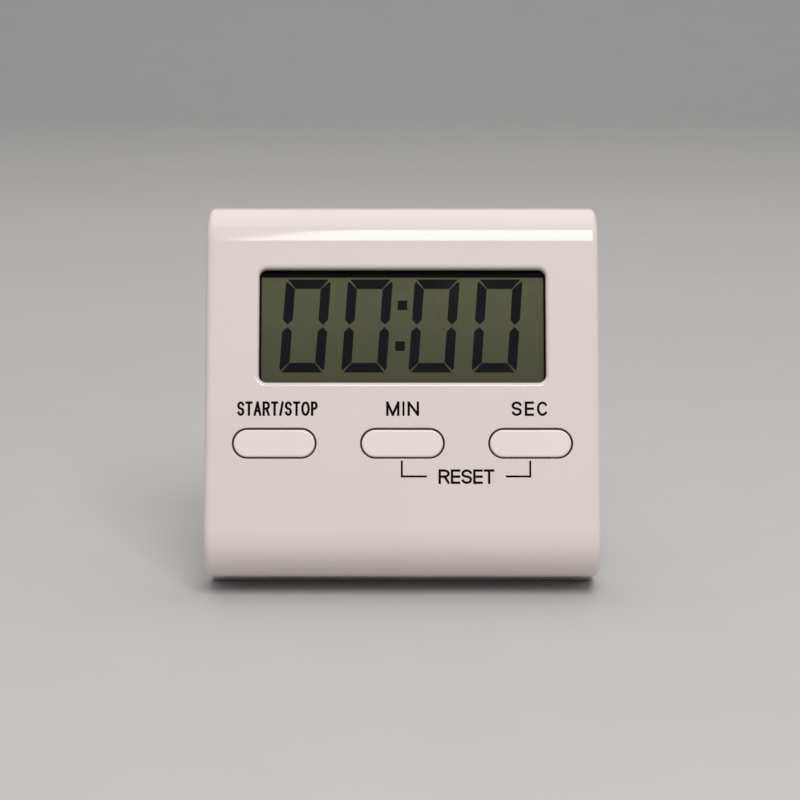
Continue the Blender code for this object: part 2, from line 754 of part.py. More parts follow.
def make_battery():
    """The cell in its bay, and the metal at its two ends."""
    half = BATTERY_BODY / 2
    profile = [
        (0, half + NUB_LENGTH),
        (NUB_RADIUS, half + NUB_LENGTH),
        (NUB_RADIUS, half),
        (BATTERY_RADIUS - BATTERY_EDGE, half),
        (BATTERY_RADIUS, half - BATTERY_EDGE),
        (BATTERY_RADIUS, -half + BATTERY_EDGE),
        (BATTERY_RADIUS - BATTERY_EDGE, -half),
        (0, -half),
    ]
    cell = turned("battery", profile, 32)
    cell.rotation_euler = (0, math.pi / 2, 0)
    middle_x = BAY_HALF - 3 * CONTACT_THICKNESS - GAP - NUB_LENGTH - half
    link_part(cell, "battery_jacket", case_frame, (middle_x, BATTERY_Y, BATTERY_Z))
    wide, low, high = 0.004, -0.0045, 0.0045
    tab, tab_top = 0.0011, BAY_HIGH_Z + TAB_RISE - BATTERY_Z
    right_side = [(wide, low), (wide, high), (tab, high), (tab, tab_top)]
    outline = right_side + [(-x, z) for x, z in reversed(right_side)]
    for name, side in (("negative_contact", -1), ("positive_contact", 1)):
        contact = plate(name, [outline], CONTACT_THICKNESS)
        contact.rotation_euler = (0, 0, math.pi / 2)
        place = side * (BAY_HALF - CONTACT_THICKNESS)
        link_part(contact, "steel", case_frame, (place, BATTERY_Y, BATTERY_Z))
    spring_start = -BAY_HALF + 2 * CONTACT_THICKNESS + SEAT_GAP
    make_battery_spring(spring_start, middle_x - half - SEAT_GAP)
    make_battery_wires()


def make_battery_spring(start_x, end_x):
    """A conical coil, wide at the contact and narrow at the cell."""
    turns, per_turn, wire_radius = 3, 12, 0.00025
    span = end_x - start_x - 2 * wire_radius
    count = turns * per_turn
    route = []
    for step in range(count + 1):
        t = step / count
        turn = 2 * math.pi * turns * t
        radius = 0.0035 - 0.0015 * t
        x = start_x + wire_radius + span * t
        route.append((x, BATTERY_Y + radius * math.cos(turn), BATTERY_Z + radius * math.sin(turn)))
    wire("battery_spring", route, wire_radius, "steel")


def make_battery_wires():
    start_z = BAY_HIGH_Z + TAB_RISE + WIRE_RADIUS + SEAT_GAP
    end_y = BOARD_BACK_Y + WIRE_RADIUS + SEAT_GAP
    for name, side, finish in (("battery_wire_black", -1, "black_wire"), ("battery_wire_red", 1, "red_wire")):
        contact_x = side * (BAY_HALF - CONTACT_THICKNESS)
        route = [
            (contact_x, BATTERY_Y, start_z),
            (side * 0.0244, BATTERY_Y + 0.0003, 0.0195),
            (side * 0.0235, 0.0006, 0.0222),
            (side * 0.022, end_y, 0.0245),
        ]
        wire(name, smooth_route(route, 4), WIRE_RADIUS, finish)


def make_battery_door():
    """A flush plate with finger ridges, which swings down on two pins at its lower corners."""
    hinge = new_empty("door_hinge", (0, DOOR_HINGE_Y, DOOR_HINGE_Z), (0, 0, 0), case_frame)
    door = block(
        "battery_door",
        (-DOOR_HALF, BACK_Y - DOOR_THICKNESS - DOOR_HINGE_Y, DOOR_LOW_Z - DOOR_HINGE_Z),
        (DOOR_HALF, BACK_Y - DOOR_HINGE_Y, DOOR_HIGH_Z - DOOR_HINGE_Z),
    )
    link_part(door, "cover_plastic", hinge)
    for name, side in (("left", -1), ("right", 1)):
        pin = rod(f"door_pin_{name}", DOOR_PIN_RADIUS, 2 * DOOR_PIN_LENGTH, "X", 12)
        join(door, link_helper(pin, (side * DOOR_HALF, DOOR_HINGE_Y, DOOR_HINGE_Z)))
    for index in range(5):
        z = (DOOR_LOW_Z + DOOR_HIGH_Z) / 2 + (index - 2) * DOOR_GROOVE_PITCH
        half = DOOR_GROOVE_HALF - abs(index - 2) * DOOR_GROOVE_STEP
        groove = block(f"door_groove_{index}", (-half, -0.0004, -0.0003), (half, 0.0004, 0.0003))
        cut(door, link_helper(groove, (0, BACK_Y, z)))


def ground_level():
    """The height of the leaning case's lowest point, on its rounded rear edge, from the case's origin."""
    edge_y = BACK_Y - BACK_RADIUS
    return -edge_y * math.sin(LEAN) + BACK_RADIUS * math.cos(LEAN) - BACK_RADIUS


def stand_angle():
    """How far the stand swings out from its recess before its foot meets the surface the timer stands on."""
    hinge = -HINGE_Y * math.sin(LEAN) + HINGE_Z * math.cos(LEAN) - ground_level()
    underside = STAND_OFFSET + STAND_THICKNESS / 2
    drop = math.asin((hinge + FOOT_CUT) / math.hypot(STAND_LENGTH, underside))
    drop -= math.atan2(underside, STAND_LENGTH)
    return math.pi / 2 - LEAN + drop


def foot_cutter():
    """Everything under the surface the timer stands on, which leaves the stand a flat foot."""
    cutter = link_helper(block("foot_cutter", (-WIDTH / 2, 0, -DEPTH / 2), (WIDTH / 2, HEIGHT, 0)))
    cutter.rotation_euler = (LEAN, 0, 0)
    cutter.location = Matrix.Rotation(LEAN, 3, "X") @ Vector((0, 0, ground_level()))
    return cutter


def make_stand():
    """A U-shaped bracket, modelled folded up and then swung out about its pins."""
    hinge = new_empty("stand_hinge", (0, HINGE_Y, HINGE_Z), (-stand_angle(), 0, 0), case_frame)
    right, end = STAND_WIDTH / 2, -STAND_THICKNESS / 2
    inner, bar = right - STAND_ARM, STAND_LENGTH - STAND_BAR
    corners = [(-right, end), (-inner, end), (-inner, bar), (inner, bar), (inner, end), (right, end)]
    corners += [(right, STAND_LENGTH), (-right, STAND_LENGTH)]
    radii = [0, 0, STAND_INNER_CORNER, STAND_INNER_CORNER, 0, 0, STAND_OUTER_CORNER, STAND_OUTER_CORNER]
    outline = rounded_outline(corners, radii, 4)
    stand = plate("stand", [outline], STAND_THICKNESS)
    bm = bmesh.new()
    bm.from_mesh(stand.data)
    bmesh.ops.dissolve_limit(bm, angle_limit=0.01, verts=bm.verts, edges=bm.edges)
    round_edges(bm, edges_along_x(bm, z=end), STAND_THICKNESS * 0.45, 4)
    bm.to_mesh(stand.data)
    bm.free()
    for vertex in stand.data.vertices:
        vertex.co.y += STAND_OFFSET
    link_part(stand, "cover_plastic", hinge)
    for name, side in (("left", -1), ("right", 1)):
        pin = link_helper(rod(f"stand_pin_{name}", HINGE_PIN_RADIUS, 2 * HINGE_PIN_LENGTH, "X", 16))
        pin.parent = hinge
        pin.location = (side * right, 0, 0)
        join(stand, pin)
    cut(stand, foot_cutter())


def make_magnets():
    for name, x in (("magnet_left", -MAGNET_X), ("magnet_right", MAGNET_X)):
        magnet = rod(name, MAGNET_RADIUS, MAGNET_THICKNESS, "Y", 32)
        middle = BACK_Y - MAGNET_THICKNESS / 2 - MAGNET_RECESS
        link_part(magnet, "magnet_coat", case_frame, (x, middle, MAGNET_Z))


def screw_mesh():
    """A pan-head screw along +Z, head up, with a cross recess. Its origin is under the head."""
    head, shank = SCREW_HEAD_RADIUS, SCREW_SHANK_RADIUS
    profile = [
        (0, SCREW_HEAD_HEIGHT),
        (head * 0.6, SCREW_HEAD_HEIGHT),
        (head, SCREW_HEAD_HEIGHT * 0.5),
        (head, 0),
        (shank, 0),
        (shank, -SCREW_LENGTH + shank),
        (0, -SCREW_LENGTH),
    ]
    blank = link_helper(turned("screw_blank", profile, 20))
    sizes = {
        "cross_a": (CROSS_HALF_LENGTH, CROSS_HALF_WIDTH),
        "cross_b": (CROSS_HALF_WIDTH, CROSS_HALF_LENGTH),
    }
    for name, size in sizes.items():
        x, y = size
        arm = block(name, (-x, -y, SCREW_HEAD_HEIGHT - CROSS_DEPTH), (x, y, SCREW_HEAD_HEIGHT * 2))
        cut(blank, link_helper(arm))
    graph = bpy.context.evaluated_depsgraph_get()
    mesh = bpy.data.meshes.new_from_object(blank.evaluated_get(graph))
    for helper in [blank, *(modifier.object for modifier in blank.modifiers if modifier.type == "BOOLEAN")]:
        bpy.data.objects.remove(helper)
    return mesh


def make_screws():
    mesh = screw_mesh()
    places = [(f"case_screw_{index + 1}", x, SCREW_HEAD_Y, z) for index, (x, z) in enumerate(screw_places())]
    board_y = BOARD_BACK_Y + SEAT_GAP
    places += [
        ("board_screw_left", -BOARD_SCREW_X, board_y, BOARD_SCREW_Z),
        ("board_screw_right", BOARD_SCREW_X, board_y, BOARD_SCREW_Z),
    ]
    for name, x, y, z in places:
        screw = bpy.data.objects.new(name, mesh.copy())
        screw.rotation_euler = (-math.pi / 2, 0, 0)
        if name.startswith("board"):
            for vertex in screw.data.vertices:
                if vertex.co.z < 0:
                    vertex.co.z *= 0.6
        link_part(screw, "steel", case_frame, (x, y, z))


def stand_on_origin():
    """Moves the case frame so that the timer stands on z = 0, with the origin under the middle of its box."""
    bpy.context.view_layer.update()
    graph = bpy.context.evaluated_depsgraph_get()
    corners = []
    for name in ("front_case", "rear_cover", "stand"):
        part = bpy.data.objects[name].evaluated_get(graph)
        corners += [part.matrix_world @ vertex.co for vertex in part.data.vertices]
    middle_y = (min(corner.y for corner in corners) + max(corner.y for corner in corners)) / 2
    case_frame.location = (0, -middle_y, -min(corner.z for corner in corners))


clear_scene()
timer = new_collection("lab_timer")
cutters = new_collection("cutters")
materials = {name: new_material(name, *finish) for name, finish in FINISHES.items()}
case_frame = new_empty("case_frame", (0, 0, 0), (-LEAN, 0, 0))
make_front_case()
make_rear_cover()
make_buttons()
make_display()
make_board()
make_buzzer()
make_battery()
make_battery_door()
make_stand()
make_magnets()
make_screws()
stand_on_origin()
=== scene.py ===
"""Looks for a three-key countdown timer: fine shells, keys, display, printing and finishes.

Every piece is modelled in the case's own frame: X to the right, Y from the face to the back and Z up the
face, in metres, with its origin at the middle of the underside. CASE takes that frame to where the timer
stands.
"""

import json
import math

import bmesh
import bpy
from bpy.props import FloatProperty, FloatVectorProperty, PointerProperty
from mathutils import Matrix, Vector


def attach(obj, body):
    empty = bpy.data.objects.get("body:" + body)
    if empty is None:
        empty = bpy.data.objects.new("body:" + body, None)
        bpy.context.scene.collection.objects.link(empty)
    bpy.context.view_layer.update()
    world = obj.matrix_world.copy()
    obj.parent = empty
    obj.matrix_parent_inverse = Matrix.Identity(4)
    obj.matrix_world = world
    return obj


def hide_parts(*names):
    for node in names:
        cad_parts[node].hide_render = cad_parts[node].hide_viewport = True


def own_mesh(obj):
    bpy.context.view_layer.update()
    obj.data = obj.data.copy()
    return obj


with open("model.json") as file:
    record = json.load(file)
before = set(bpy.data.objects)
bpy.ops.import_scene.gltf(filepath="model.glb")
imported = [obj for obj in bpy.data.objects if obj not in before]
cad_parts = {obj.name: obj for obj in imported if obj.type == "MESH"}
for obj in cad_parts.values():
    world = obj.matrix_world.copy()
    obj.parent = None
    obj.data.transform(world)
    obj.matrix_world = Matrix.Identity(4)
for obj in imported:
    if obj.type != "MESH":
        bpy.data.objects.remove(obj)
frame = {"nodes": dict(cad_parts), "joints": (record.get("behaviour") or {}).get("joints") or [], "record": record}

bl_info = {
    "name": "Lab Timer",
    "version": (1, 0, 0),
    "blender": (4, 5, 0),
    "location": "3D View > Sidebar > Lab Timer",
    "description": "Builds the fine pieces, the finishes and the stage of a three-key countdown timer",
    "category": "Object",
}

JOINTS = {joint["name"]: joint for joint in frame["joints"]}
KEYS = ("start_stop", "minute", "second")
PRESS = Vector(JOINTS["start_stop_press"]["axis"])
LEAN = Matrix.Rotation(math.atan2(PRESS.z, PRESS.y), 4, "X")
STAND_HINGE = Vector((0, 0.0069, 0.02))
CASE = Matrix.Translation(Vector(JOINTS["stand_fold"]["pos_m"]) - LEAN @ STAND_HINGE) @ LEAN


def case_box(node):
    """Lowest and highest corner of a CAD node in the case's own frame."""
    inverse = CASE.inverted()
    points = [inverse @ vertex.co for vertex in frame["nodes"][node].data.vertices]
    low = Vector([min(point[axis] for point in points) for axis in range(3)])
    high = Vector([max(point[axis] for point in points) for axis in range(3)])
    return low, high


FRONT_LOW, FRONT_HIGH = case_box("front_case")
REAR_LOW, REAR_HIGH = case_box("rear_cover")
FACE_Y = FRONT_LOW.y
BACK_Y = REAR_HIGH.y
HEIGHT = FRONT_HIGH.z
WIDTH = FRONT_HIGH.x - FRONT_LOW.x

# Case
WALL = 0.0018
FRONT_RADIUS = 0.007
BACK_RADIUS = 0.0015
SIDE_RADIUS = 0.0012
GAP = 0.0003
SEAM_Y = 0.004
WINDOW_SIZE = (0.0473, 0.019)
WINDOW_Z = 0.041
WINDOW_RADIUS = 0.0013
LIP_START = math.radians(4)
CASE_POST_RADIUS = 0.0022
BOARD_POST_RADIUS = 0.0017
PILOT_RADIUS = 0.0013
BOARD_SCREW_X = 0.0105
BOARD_SCREW_Z = 0.02

# Rear cover
BAY_WALL = 0.0012
BAY_HALF = 0.025
BAY_LOW_Z = 0.0033
BAY_HIGH_Z = 0.0145
BAY_FRONT_Y = -0.0042
BAY_ROUND = 0.0038
TUB_ROUND = 0.005
CONTACT_SLOT_HALF = 0.0004
CONTACT_SLOT_REACH = 0.0016
BATTERY_Y = 0.00135
DOOR_HALF = 0.0256
DOOR_THICKNESS = 0.0015
DOOR_CORNER = 0.0003
DOOR_EDGE = 0.00015
DOOR_PIN_RADIUS = 0.00045
DOOR_PIN_LENGTH = 0.001
DOOR_HINGE_Y = 0.0079
DOOR_HINGE_Z = 0.00245
GROOVE_COUNT = 5
GROOVE_PITCH = 0.0011
GROOVE_BELOW_TOP = 0.0018
GROOVE_LENGTH = 0.011
GROOVE_STEP = 0.0016
GROOVE_WIDTH = 0.0005
GROOVE_DEPTH = 0.0004
GROOVE_LIP = 0.0001
STAND_HALF = 0.023
STAND_LENGTH = 0.03
STAND_ARM = 0.0045
STAND_BAR = 0.006
STAND_THICKNESS = 0.0023
STAND_OFFSET = 0.00025
STAND_INNER_CORNER = 0.0008
STAND_OUTER_CORNER = 0.003
STAND_EDGE = 0.0003
STAND_PIN_RADIUS = 0.0009
STAND_PIN_LENGTH = 0.002
PIN_PLAY = 0.00025
RECESS_FLOOR_Y = 0.0054
RECESS_MARGIN = 0.0004
RECESS_HEEL = 0.0013
PAD_INNER_Y = 0.0042
MAGNET_X = 0.0115
MAGNET_Z = 0.0365
MAGNET_RADIUS = 0.005
MAGNET_DEPTH = 0.0026
BUZZER_Z = 0.027
BUZZER_RING_RADIUS = 0.0081
BUZZER_BORE_RADIUS = 0.0065
BUZZER_RING_Y = 0.0052
SOUND_RING = 0.0028
SOUND_RADIUS = 0.0007
SCREW_X = 0.0287
SCREW_LOW_Z = 0.007
SCREW_HIGH_Z = 0.0578
SCREW_HEAD_RADIUS = 0.0019
SCREW_HEAD_Y = 0.0063
SCREW_HEAD_HEIGHT = 0.0012
SCREW_HEAD_ROUND = 0.0006
SCREW_SHANK_RADIUS = 0.001
COLLAR_RADIUS = 0.0026

SCREW_POINT_RADIUS = 0.0007
SCREW_POINT_LENGTH = 0.0006
CROSS_LENGTH = 0.0022
CROSS_WIDTH = 0.0004
CROSS_DEPTH = 0.0007
CROSS_TAPER = 0.00008
CROSS_ABOVE = 0.0005
MAGNET_EDGE = 0.00025

# Battery
CAN_RADIUS = 0.0038
CAN_FOOT_RADIUS = 0.0036
CAN_EDGE = 0.0003
NUB_RADIUS = 0.0019
NUB_HEIGHT = 0.0012
JACKET_INSET = 0.0002
JACKET_SHOULDER = 0.0006
JACKET_CURL = 0.14
JACKET_BAND = 0.0116
JACKET_BAND_BLEND = 0.0001

# Keys and domes
KEY_FLANGE = 0.0011
KEY_FLANGE_THICKNESS = 0.0008
KEY_FLANGE_EDGE = 0.0001
KEY_STEM_RADIUS = 0.0015
DOME_SKIN = 0.0008
DOME_FOOT_RADIUS = 0.0045
DOME_SHOULDER_RADIUS = 0.0034
DOME_TOP_RADIUS = 0.0023
DOME_HOLLOW_RADIUS = 0.003
DOME_HOLLOW_TOP_RADIUS = 0.0018

# Display and printing
SEGMENT_GAP = 0.00008
SEGMENT_CORNER = 0.00025
DIGIT_DEPTH = 0.00001
DIGIT_LEFTS = (-0.0193, -0.00903, 0.00207, 0.0125)
COLON_DOT = 0.0016
COLON_PLACES = ((-0.0004, 0.0378), (0, 0.04465))
# Black of the painted shadow strip at the top and sides of the display window
PAINTED_SHADOW_COLOUR = (0.003, 0.002, 0.0015)
LABEL_Z = 0.0271
LETTER_GAP = 0.07
SHORT_WORD_GAP = 0.2
BRACKET_LOW_Z = 0.01593
BRACKET_HIGH_Z = 0.01854
BRACKET_LEFT_X = -0.0001
BRACKET_LEFT_ARM = 0.0041
BRACKET_RIGHT_X = 0.0208
BRACKET_RIGHT_ARM = 0.004

# Stage
KEY_PANEL_TURNS = (math.radians(36), math.radians(66))
KEY_PANEL_LEFTS = (-0.085, -0.035)
KEY_PANEL_RIGHT = 0.3
TOP_PANEL_TURNS = (math.radians(78), math.radians(150))
TOP_PANEL_HALF = 0.45
PANEL_REACH = 0.8
VIEW_SHIFT = Vector((-0.0004, 0, -0.0025))

# Radius of the small flat that closes the end of a turned piece
TIP = 0.0002

SHOWN = bpy.data.collections.new("lab_timer")
bpy.context.scene.collection.children.link(SHOWN)


# Meshes


def mesh_object(name, bm):
    """A new object from a bmesh, with its faces pointing out."""
    mesh = bpy.data.meshes.new(name)
    bmesh.ops.recalc_face_normals(bm, faces=bm.faces)
    bm.to_mesh(mesh)
    bm.free()
    piece = bpy.data.objects.new(name, mesh)
    SHOWN.objects.link(piece)
    piece.matrix_world = CASE
    return piece


def arc(start, end, steps):
    """Angles from start to end, both included."""
    return [start + (end - start) * step / steps for step in range(steps + 1)]


def rounded_outline(corners, radii, steps=6):
    """The corners of a flat shape, anticlockwise, each replaced by an arc of its radius."""
    outline = []
    for index, corner in enumerate(corners):
        here = Vector(corner)
        if not radii[index]:
            outline.append(here)
            continue
        before = (Vector(corners[index - 1]) - here).normalized()
        after = (Vector(corners[(index + 1) % len(corners)]) - here).normalized()
        half = before.angle(after) / 2
        centre = here + (before + after).normalized() * radii[index] / math.sin(half)
        start = here + before * radii[index] / math.tan(half) - centre
        sweep = start.angle_signed(here + after * radii[index] / math.tan(half) - centre)
        outline += [centre + Matrix.Rotation(-turn, 2) @ start for turn in arc(0, sweep, steps)]
    return outline


def rectangle(width, height, radius=0.0, steps=6, centre=(0, 0)):
    x, z = centre
    right, top = width / 2, height / 2
    corners = [(x - right, z - top), (x + right, z - top), (x + right, z + top), (x - right, z + top)]
    return rounded_outline(corners, [radius] * 4, steps)


def pill(width, height, centre=(0, 0), steps=16):
    """A rectangle with half-round ends."""
    return rectangle(width, height, height / 2 * 0.999, steps, centre)


def circle(radius, centre=(0, 0), steps=32):
    x, z = centre
    turns = arc(0, 2 * math.pi, steps)[:-1]
    return [Vector((x + radius * math.cos(turn), z + radius * math.sin(turn))) for turn in turns]


def grown(outline, distance):
    """The outline moved outwards by this distance."""
    moved = []
    for index, here in enumerate(outline):
        first = (here - outline[index - 1]).normalized()
        second = (outline[(index + 1) % len(outline)] - here).normalized()
        out = Vector((first.y + second.y, -first.x - second.x))
        moved.append(here + out * distance * 2 / out.length_squared)
    return moved


def loft(name, rings):
    """A closed solid through rings of 3D points, with flat ends."""
    bm = bmesh.new()
    rows = [[bm.verts.new(point) for point in ring] for ring in rings]
    for lower, upper in zip(rows, rows[1:]):
        for index in range(len(lower)):
            bm.faces.new((lower[index - 1], lower[index], upper[index], upper[index - 1]))
    bm.faces.new(rows[0])
    bm.faces.new(rows[-1])
    return mesh_object(name, bm)


def stacked(name, outline, levels):
    """A solid whose outline grows by a distance at each depth: levels are (distance, y) pairs."""
    return loft(name, [[(point.x, y, point.y) for point in grown(outline, out)] for out, y in levels])


def eased_plate(name, outline, front, back, edge, steps=4):
    """A flat plate between two depths, with its edges rounded on both sides."""
    turns = arc(0, math.pi / 2, steps)
    levels = [(edge * (math.sin(turn) - 1), front + edge * (1 - math.cos(turn))) for turn in turns]
    levels += [(edge * (math.cos(turn) - 1), back - edge * (1 - math.sin(turn))) for turn in turns]
    return stacked(name, outline, levels)


def mouth_cutter(name, outline, mouth, floor, lip, steps=5):
    """Cuts an opening from a face at depth mouth down to floor, and rounds its edge by lip."""
    inward = 1 if floor > mouth else -1
    turns = arc(LIP_START, math.pi / 2, steps)
    levels = [(lip * (1 - math.sin(turns[0])), mouth - inward * WALL)]
    levels += [(lip * (1 - math.sin(turn)), mouth + inward * lip * (1 - math.cos(turn))) for turn in turns]
    return stacked(name, outline, [*levels, (0, floor)])


def lathe(name, profile, centre, axis="Y", steps=48):
    """A turned solid from (radius, place along the axis) points, whose ends are closed flat."""
    rings = []
    for radius, along in profile:
        ring = []
        for turn in arc(0, 2 * math.pi, steps)[:-1]:
            across = (radius * math.cos(turn), radius * math.sin(turn))
            place = (along, *across) if axis == "X" else (across[0], along, across[1])
            ring.append(Vector(centre) + Vector(place))
        rings.append(ring)
    return loft(name, rings)


def rounded_rim(radius, top, edge, steps):
    """Profile points of a turned rim that rounds over to a flat top."""
    turns = arc(0, math.pi / 2, steps)
    return [(radius - edge * (1 - math.cos(turn)), top - edge * (1 - math.sin(turn))) for turn in turns]


def rod(name, radius, start, end, axis="Y", steps=32):
    """A plain cylinder between two points that lie along one axis."""
    reach = end[0] - start[0] if axis == "X" else end[1] - start[1]
    return lathe(name, [(radius, 0), (radius, reach)], start, axis, steps)


def block(name, low, high):
    bm = bmesh.new()
    low, high = Vector(low), Vector(high)
    size = Matrix.Diagonal((*(high - low), 1))
    bmesh.ops.create_cube(bm, size=1, matrix=Matrix.Translation((low + high) / 2) @ size)
    return mesh_object(name, bm)


def near(value, other):
    return abs(value - other) < 1e-6


def ease(bm, edges, radius, segments):
    bmesh.ops.bevel(bm, geom=edges, offset=radius, segments=segments, profile=0.5, affect="EDGES")


def profile_solid(name, outline, left, right, edge=0.0, steps=6):
    """A solid whose (Y, Z) outline runs along X, with the edges of its two ends rounded."""
    turns = arc(0, math.pi / 2, steps) if edge else [math.pi / 2]
    levels = [(edge * (math.sin(turn) - 1), left + edge * (1 - math.cos(turn))) for turn in turns]
    levels += [(out, left + right - x) for out, x in reversed(levels)]
    return loft(name, [[(x, point.x, point.y) for point in grown(outline, out)] for out, x in levels])


def rounded_bar(name, low, high, front_radius, back_radius=0.0, edge=0.0, steps=24):
    """A block along X whose long edges are rounded at the front and at the back."""
    corners = [(low[1], low[2]), (high[1], low[2]), (high[1], high[2]), (low[1], high[2])]
    outline = rounded_outline(corners, [front_radius, back_radius, back_radius, front_radius], steps)
    return profile_solid(name, outline, low[0], high[0], edge)


def combine(piece, others, operation):
    """Cuts the others from the piece, or joins them to it, and removes them."""
    for other in others:
        modifier = piece.modifiers.new(other.name, "BOOLEAN")
        modifier.operation = operation
        modifier.object = other
    graph = bpy.context.evaluated_depsgraph_get()
    mesh = bpy.data.meshes.new_from_object(piece.evaluated_get(graph))
    piece.modifiers.clear()
    piece.data = mesh
    for other in others:
        bpy.data.objects.remove(other)
    return piece


def cut(piece, *others):
    return combine(piece, others, "DIFFERENCE")


def join(piece, *others):
    return combine(piece, others, "UNION")


def settle(piece, finish, body, slot, *nodes, angle=28):
    """Gives a finished piece its shading, its material, its body and the CAD nodes it stands for."""
    piece.data.transform(piece.matrix_world)
    piece.matrix_world = Matrix.Identity(4)
    piece.data.materials.clear()
    piece.data.materials.append(finish)
    piece.data.shade_smooth()
    piece.data.set_sharp_from_angle(angle=math.radians(angle))
    weights = piece.modifiers.new("Even shading", "WEIGHTED_NORMAL")
    weights.keep_sharp = True
    weights.weight = 100
    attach(piece, body)
    if nodes:
        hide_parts(*nodes)
    return piece


# Finishes


def new_node(tree, kind, **inputs):
    """A shader node with some of its inputs set or linked, named with underscores for spaces."""
    node = tree.nodes.new(kind)
    for name, value in inputs.items():
        socket = node.inputs[name.replace("_", " ")]
        if isinstance(value, bpy.types.NodeSocket):
            tree.links.new(value, socket)
        else:
            socket.default_value = value
    return node


def noise(tree, place, scale, detail=3.0):
    return new_node(tree, "ShaderNodeTexNoise", Vector=place, Scale=scale, Detail=detail).outputs["Fac"]


def spread(tree, value, low, high):
    """Takes the middle of a noise to the range from low to high."""
    node = new_node(tree, "ShaderNodeMapRange", Value=value)
    for index, limit in enumerate((0.3, 0.7, low, high)):
        node.inputs[index + 1].default_value = limit
    return node.outputs["Result"]


def mixed(tree, factor, first, second):
    """Two colours, given or linked, mixed by a factor."""
    node = tree.nodes.new("ShaderNodeMix")
    node.data_type = "RGBA"
    tree.links.new(factor, node.inputs["Factor"])
    for name, colour in (("A", first), ("B", second)):
        socket = next(item for item in node.inputs if item.name == name and item.type == "RGBA")
        if isinstance(colour, bpy.types.NodeSocket):
            tree.links.new(colour, socket)
        else:
            socket.default_value = (*colour[:3], 1)
    return next(item for item in node.outputs if item.type == "RGBA")


def shaded(colour, amount):
    return tuple(max(channel * (1 + amount), 0) for channel in colour[:3])


def new_finish(
    name, colour, roughness, metallic=0.0, grain=0.0012, tint=0.04, wear=0.05, relief=0.000002, gleam=0.5
):
    """A moulded, cast or drawn surface: cloudy colour, uneven gloss and a fine relief.

    Grain is the size of the relief in metres, tint the share by which the colour wanders, wear the
    range of the roughness, relief the depth of the bumps in metres and gleam the level of the reflections.
    """
    material = bpy.data.materials.new(name)
    material.use_nodes = True
    tree = material.node_tree
    shader = tree.nodes["Principled BSDF"]
    shader.inputs["Metallic"].default_value = metallic
    shader.inputs["Specular IOR Level"].default_value = gleam
    place = tree.nodes.new("ShaderNodeTexCoord").outputs["Object"]
    clouds = noise(tree, place, 0.25 / grain)
    tone = mixed(tree, spread(tree, clouds, 0.0, 1.0), shaded(colour, -tint), shaded(colour, tint))
    tree.links.new(tone, shader.inputs["Base Color"])
    uneven = spread(tree, noise(tree, place, 0.6 / grain), roughness - wear / 2, roughness + wear / 2)
    tree.links.new(uneven, shader.inputs["Roughness"])
    fine = noise(tree, place, 1 / grain, 5.0)
    bump = new_node(tree, "ShaderNodeBump", Height=fine, Distance=relief, Strength=1.0)
    tree.links.new(bump.outputs["Normal"], shader.inputs["Normal"])
    return material


def recolour(material, pattern, colour):
    """Lays a colour over a finish where the pattern is 1."""
    tree = material.node_tree
    socket = tree.nodes["Principled BSDF"].inputs["Base Color"]
    under = socket.links[0].from_socket
    tree.links.new(mixed(tree, pattern, under, colour), socket)


def object_axis(tree, axis):
    place = tree.nodes.new("ShaderNodeTexCoord").outputs["Object"]
    return new_node(tree, "ShaderNodeSeparateXYZ", Vector=place).outputs[axis]


def object_depth(tree):
    """Distance along the way the keys are pressed."""
    node = tree.nodes.new("ShaderNodeVectorMath")
    node.operation = "DOT_PRODUCT"
    tree.links.new(tree.nodes.new("ShaderNodeTexCoord").outputs["Object"], node.inputs[0])
    node.inputs[1].default_value = PRESS
    return node.outputs["Value"]


def ramp(tree, value, low, high):
    """0 below low, 1 above high and a smooth step between them."""
    node = tree.nodes.new("ShaderNodeMapRange")
    node.interpolation_type = "SMOOTHSTEP"
    tree.links.new(value, node.inputs["Value"])
    node.inputs["From Min"].default_value = low
    node.inputs["From Max"].default_value = high
    return node.outputs["Result"]


def add_specks(material, colour, spacing, size):
    """Scatters a few dark specks of dust moulded into the plastic."""
    tree = material.node_tree
    place = tree.nodes.new("ShaderNodeTexCoord").outputs["Object"]
    cells = new_node(tree, "ShaderNodeTexVoronoi", Vector=place, Scale=1 / spacing)
    speck = ramp(tree, cells.outputs["Distance"], size / spacing, 0.0)
    recolour(material, speck, colour)


def case_finish(name, colour, roughness=0.09):
    """Glossy moulded plastic with a faint ripple and a few specks."""
    material = new_finish(name, colour, roughness, grain=0.004, tint=0.012, wear=0.04, relief=0.0000015)
    shader = material.node_tree.nodes["Principled BSDF"]
    shader.inputs["IOR"].default_value = 1.52
    add_specks(material, shaded(colour, -0.45), 0.02, 0.00022)
    return material


def satin_finish(name, colour, roughness, grain, relief):
    """Moulded plastic with a fine texture."""
    return new_finish(name, colour, roughness, grain=grain, tint=0.015, relief=relief)


# Settings


def length(name, description, default):
    limits = {"min": 0.0, "unit": "LENGTH", "precision": 5}
    return FloatProperty(name=name, description=description, default=default, **limits)


def tint(name, description, default):
    limits = {"min": 0.0, "max": 1.0, "subtype": "COLOR"}
    return FloatVectorProperty(name=name, description=description, default=default, **limits)


def light(name, description, default):
    return FloatProperty(name=name, description=description, default=default, min=0.0)


class CaseSettings(bpy.types.PropertyGroup):
    window_lip: length("Window lip", "Radius of the rounded edge round the display window", 0.0007)
    key_lip: length("Key hole lip", "Radius of the rounded edge round each key hole", 0.0001)
    back_lip: length("Back lip", "Radius of the rounded edges of the openings in the back", 0.00022)
    front_colour: tint("Front colour", "Plastic of the front case", (0.755, 0.68, 0.662))
    back_colour: tint("Back colour", "Plastic of the rear cover, the stand and the door", (0.74, 0.668, 0.65))


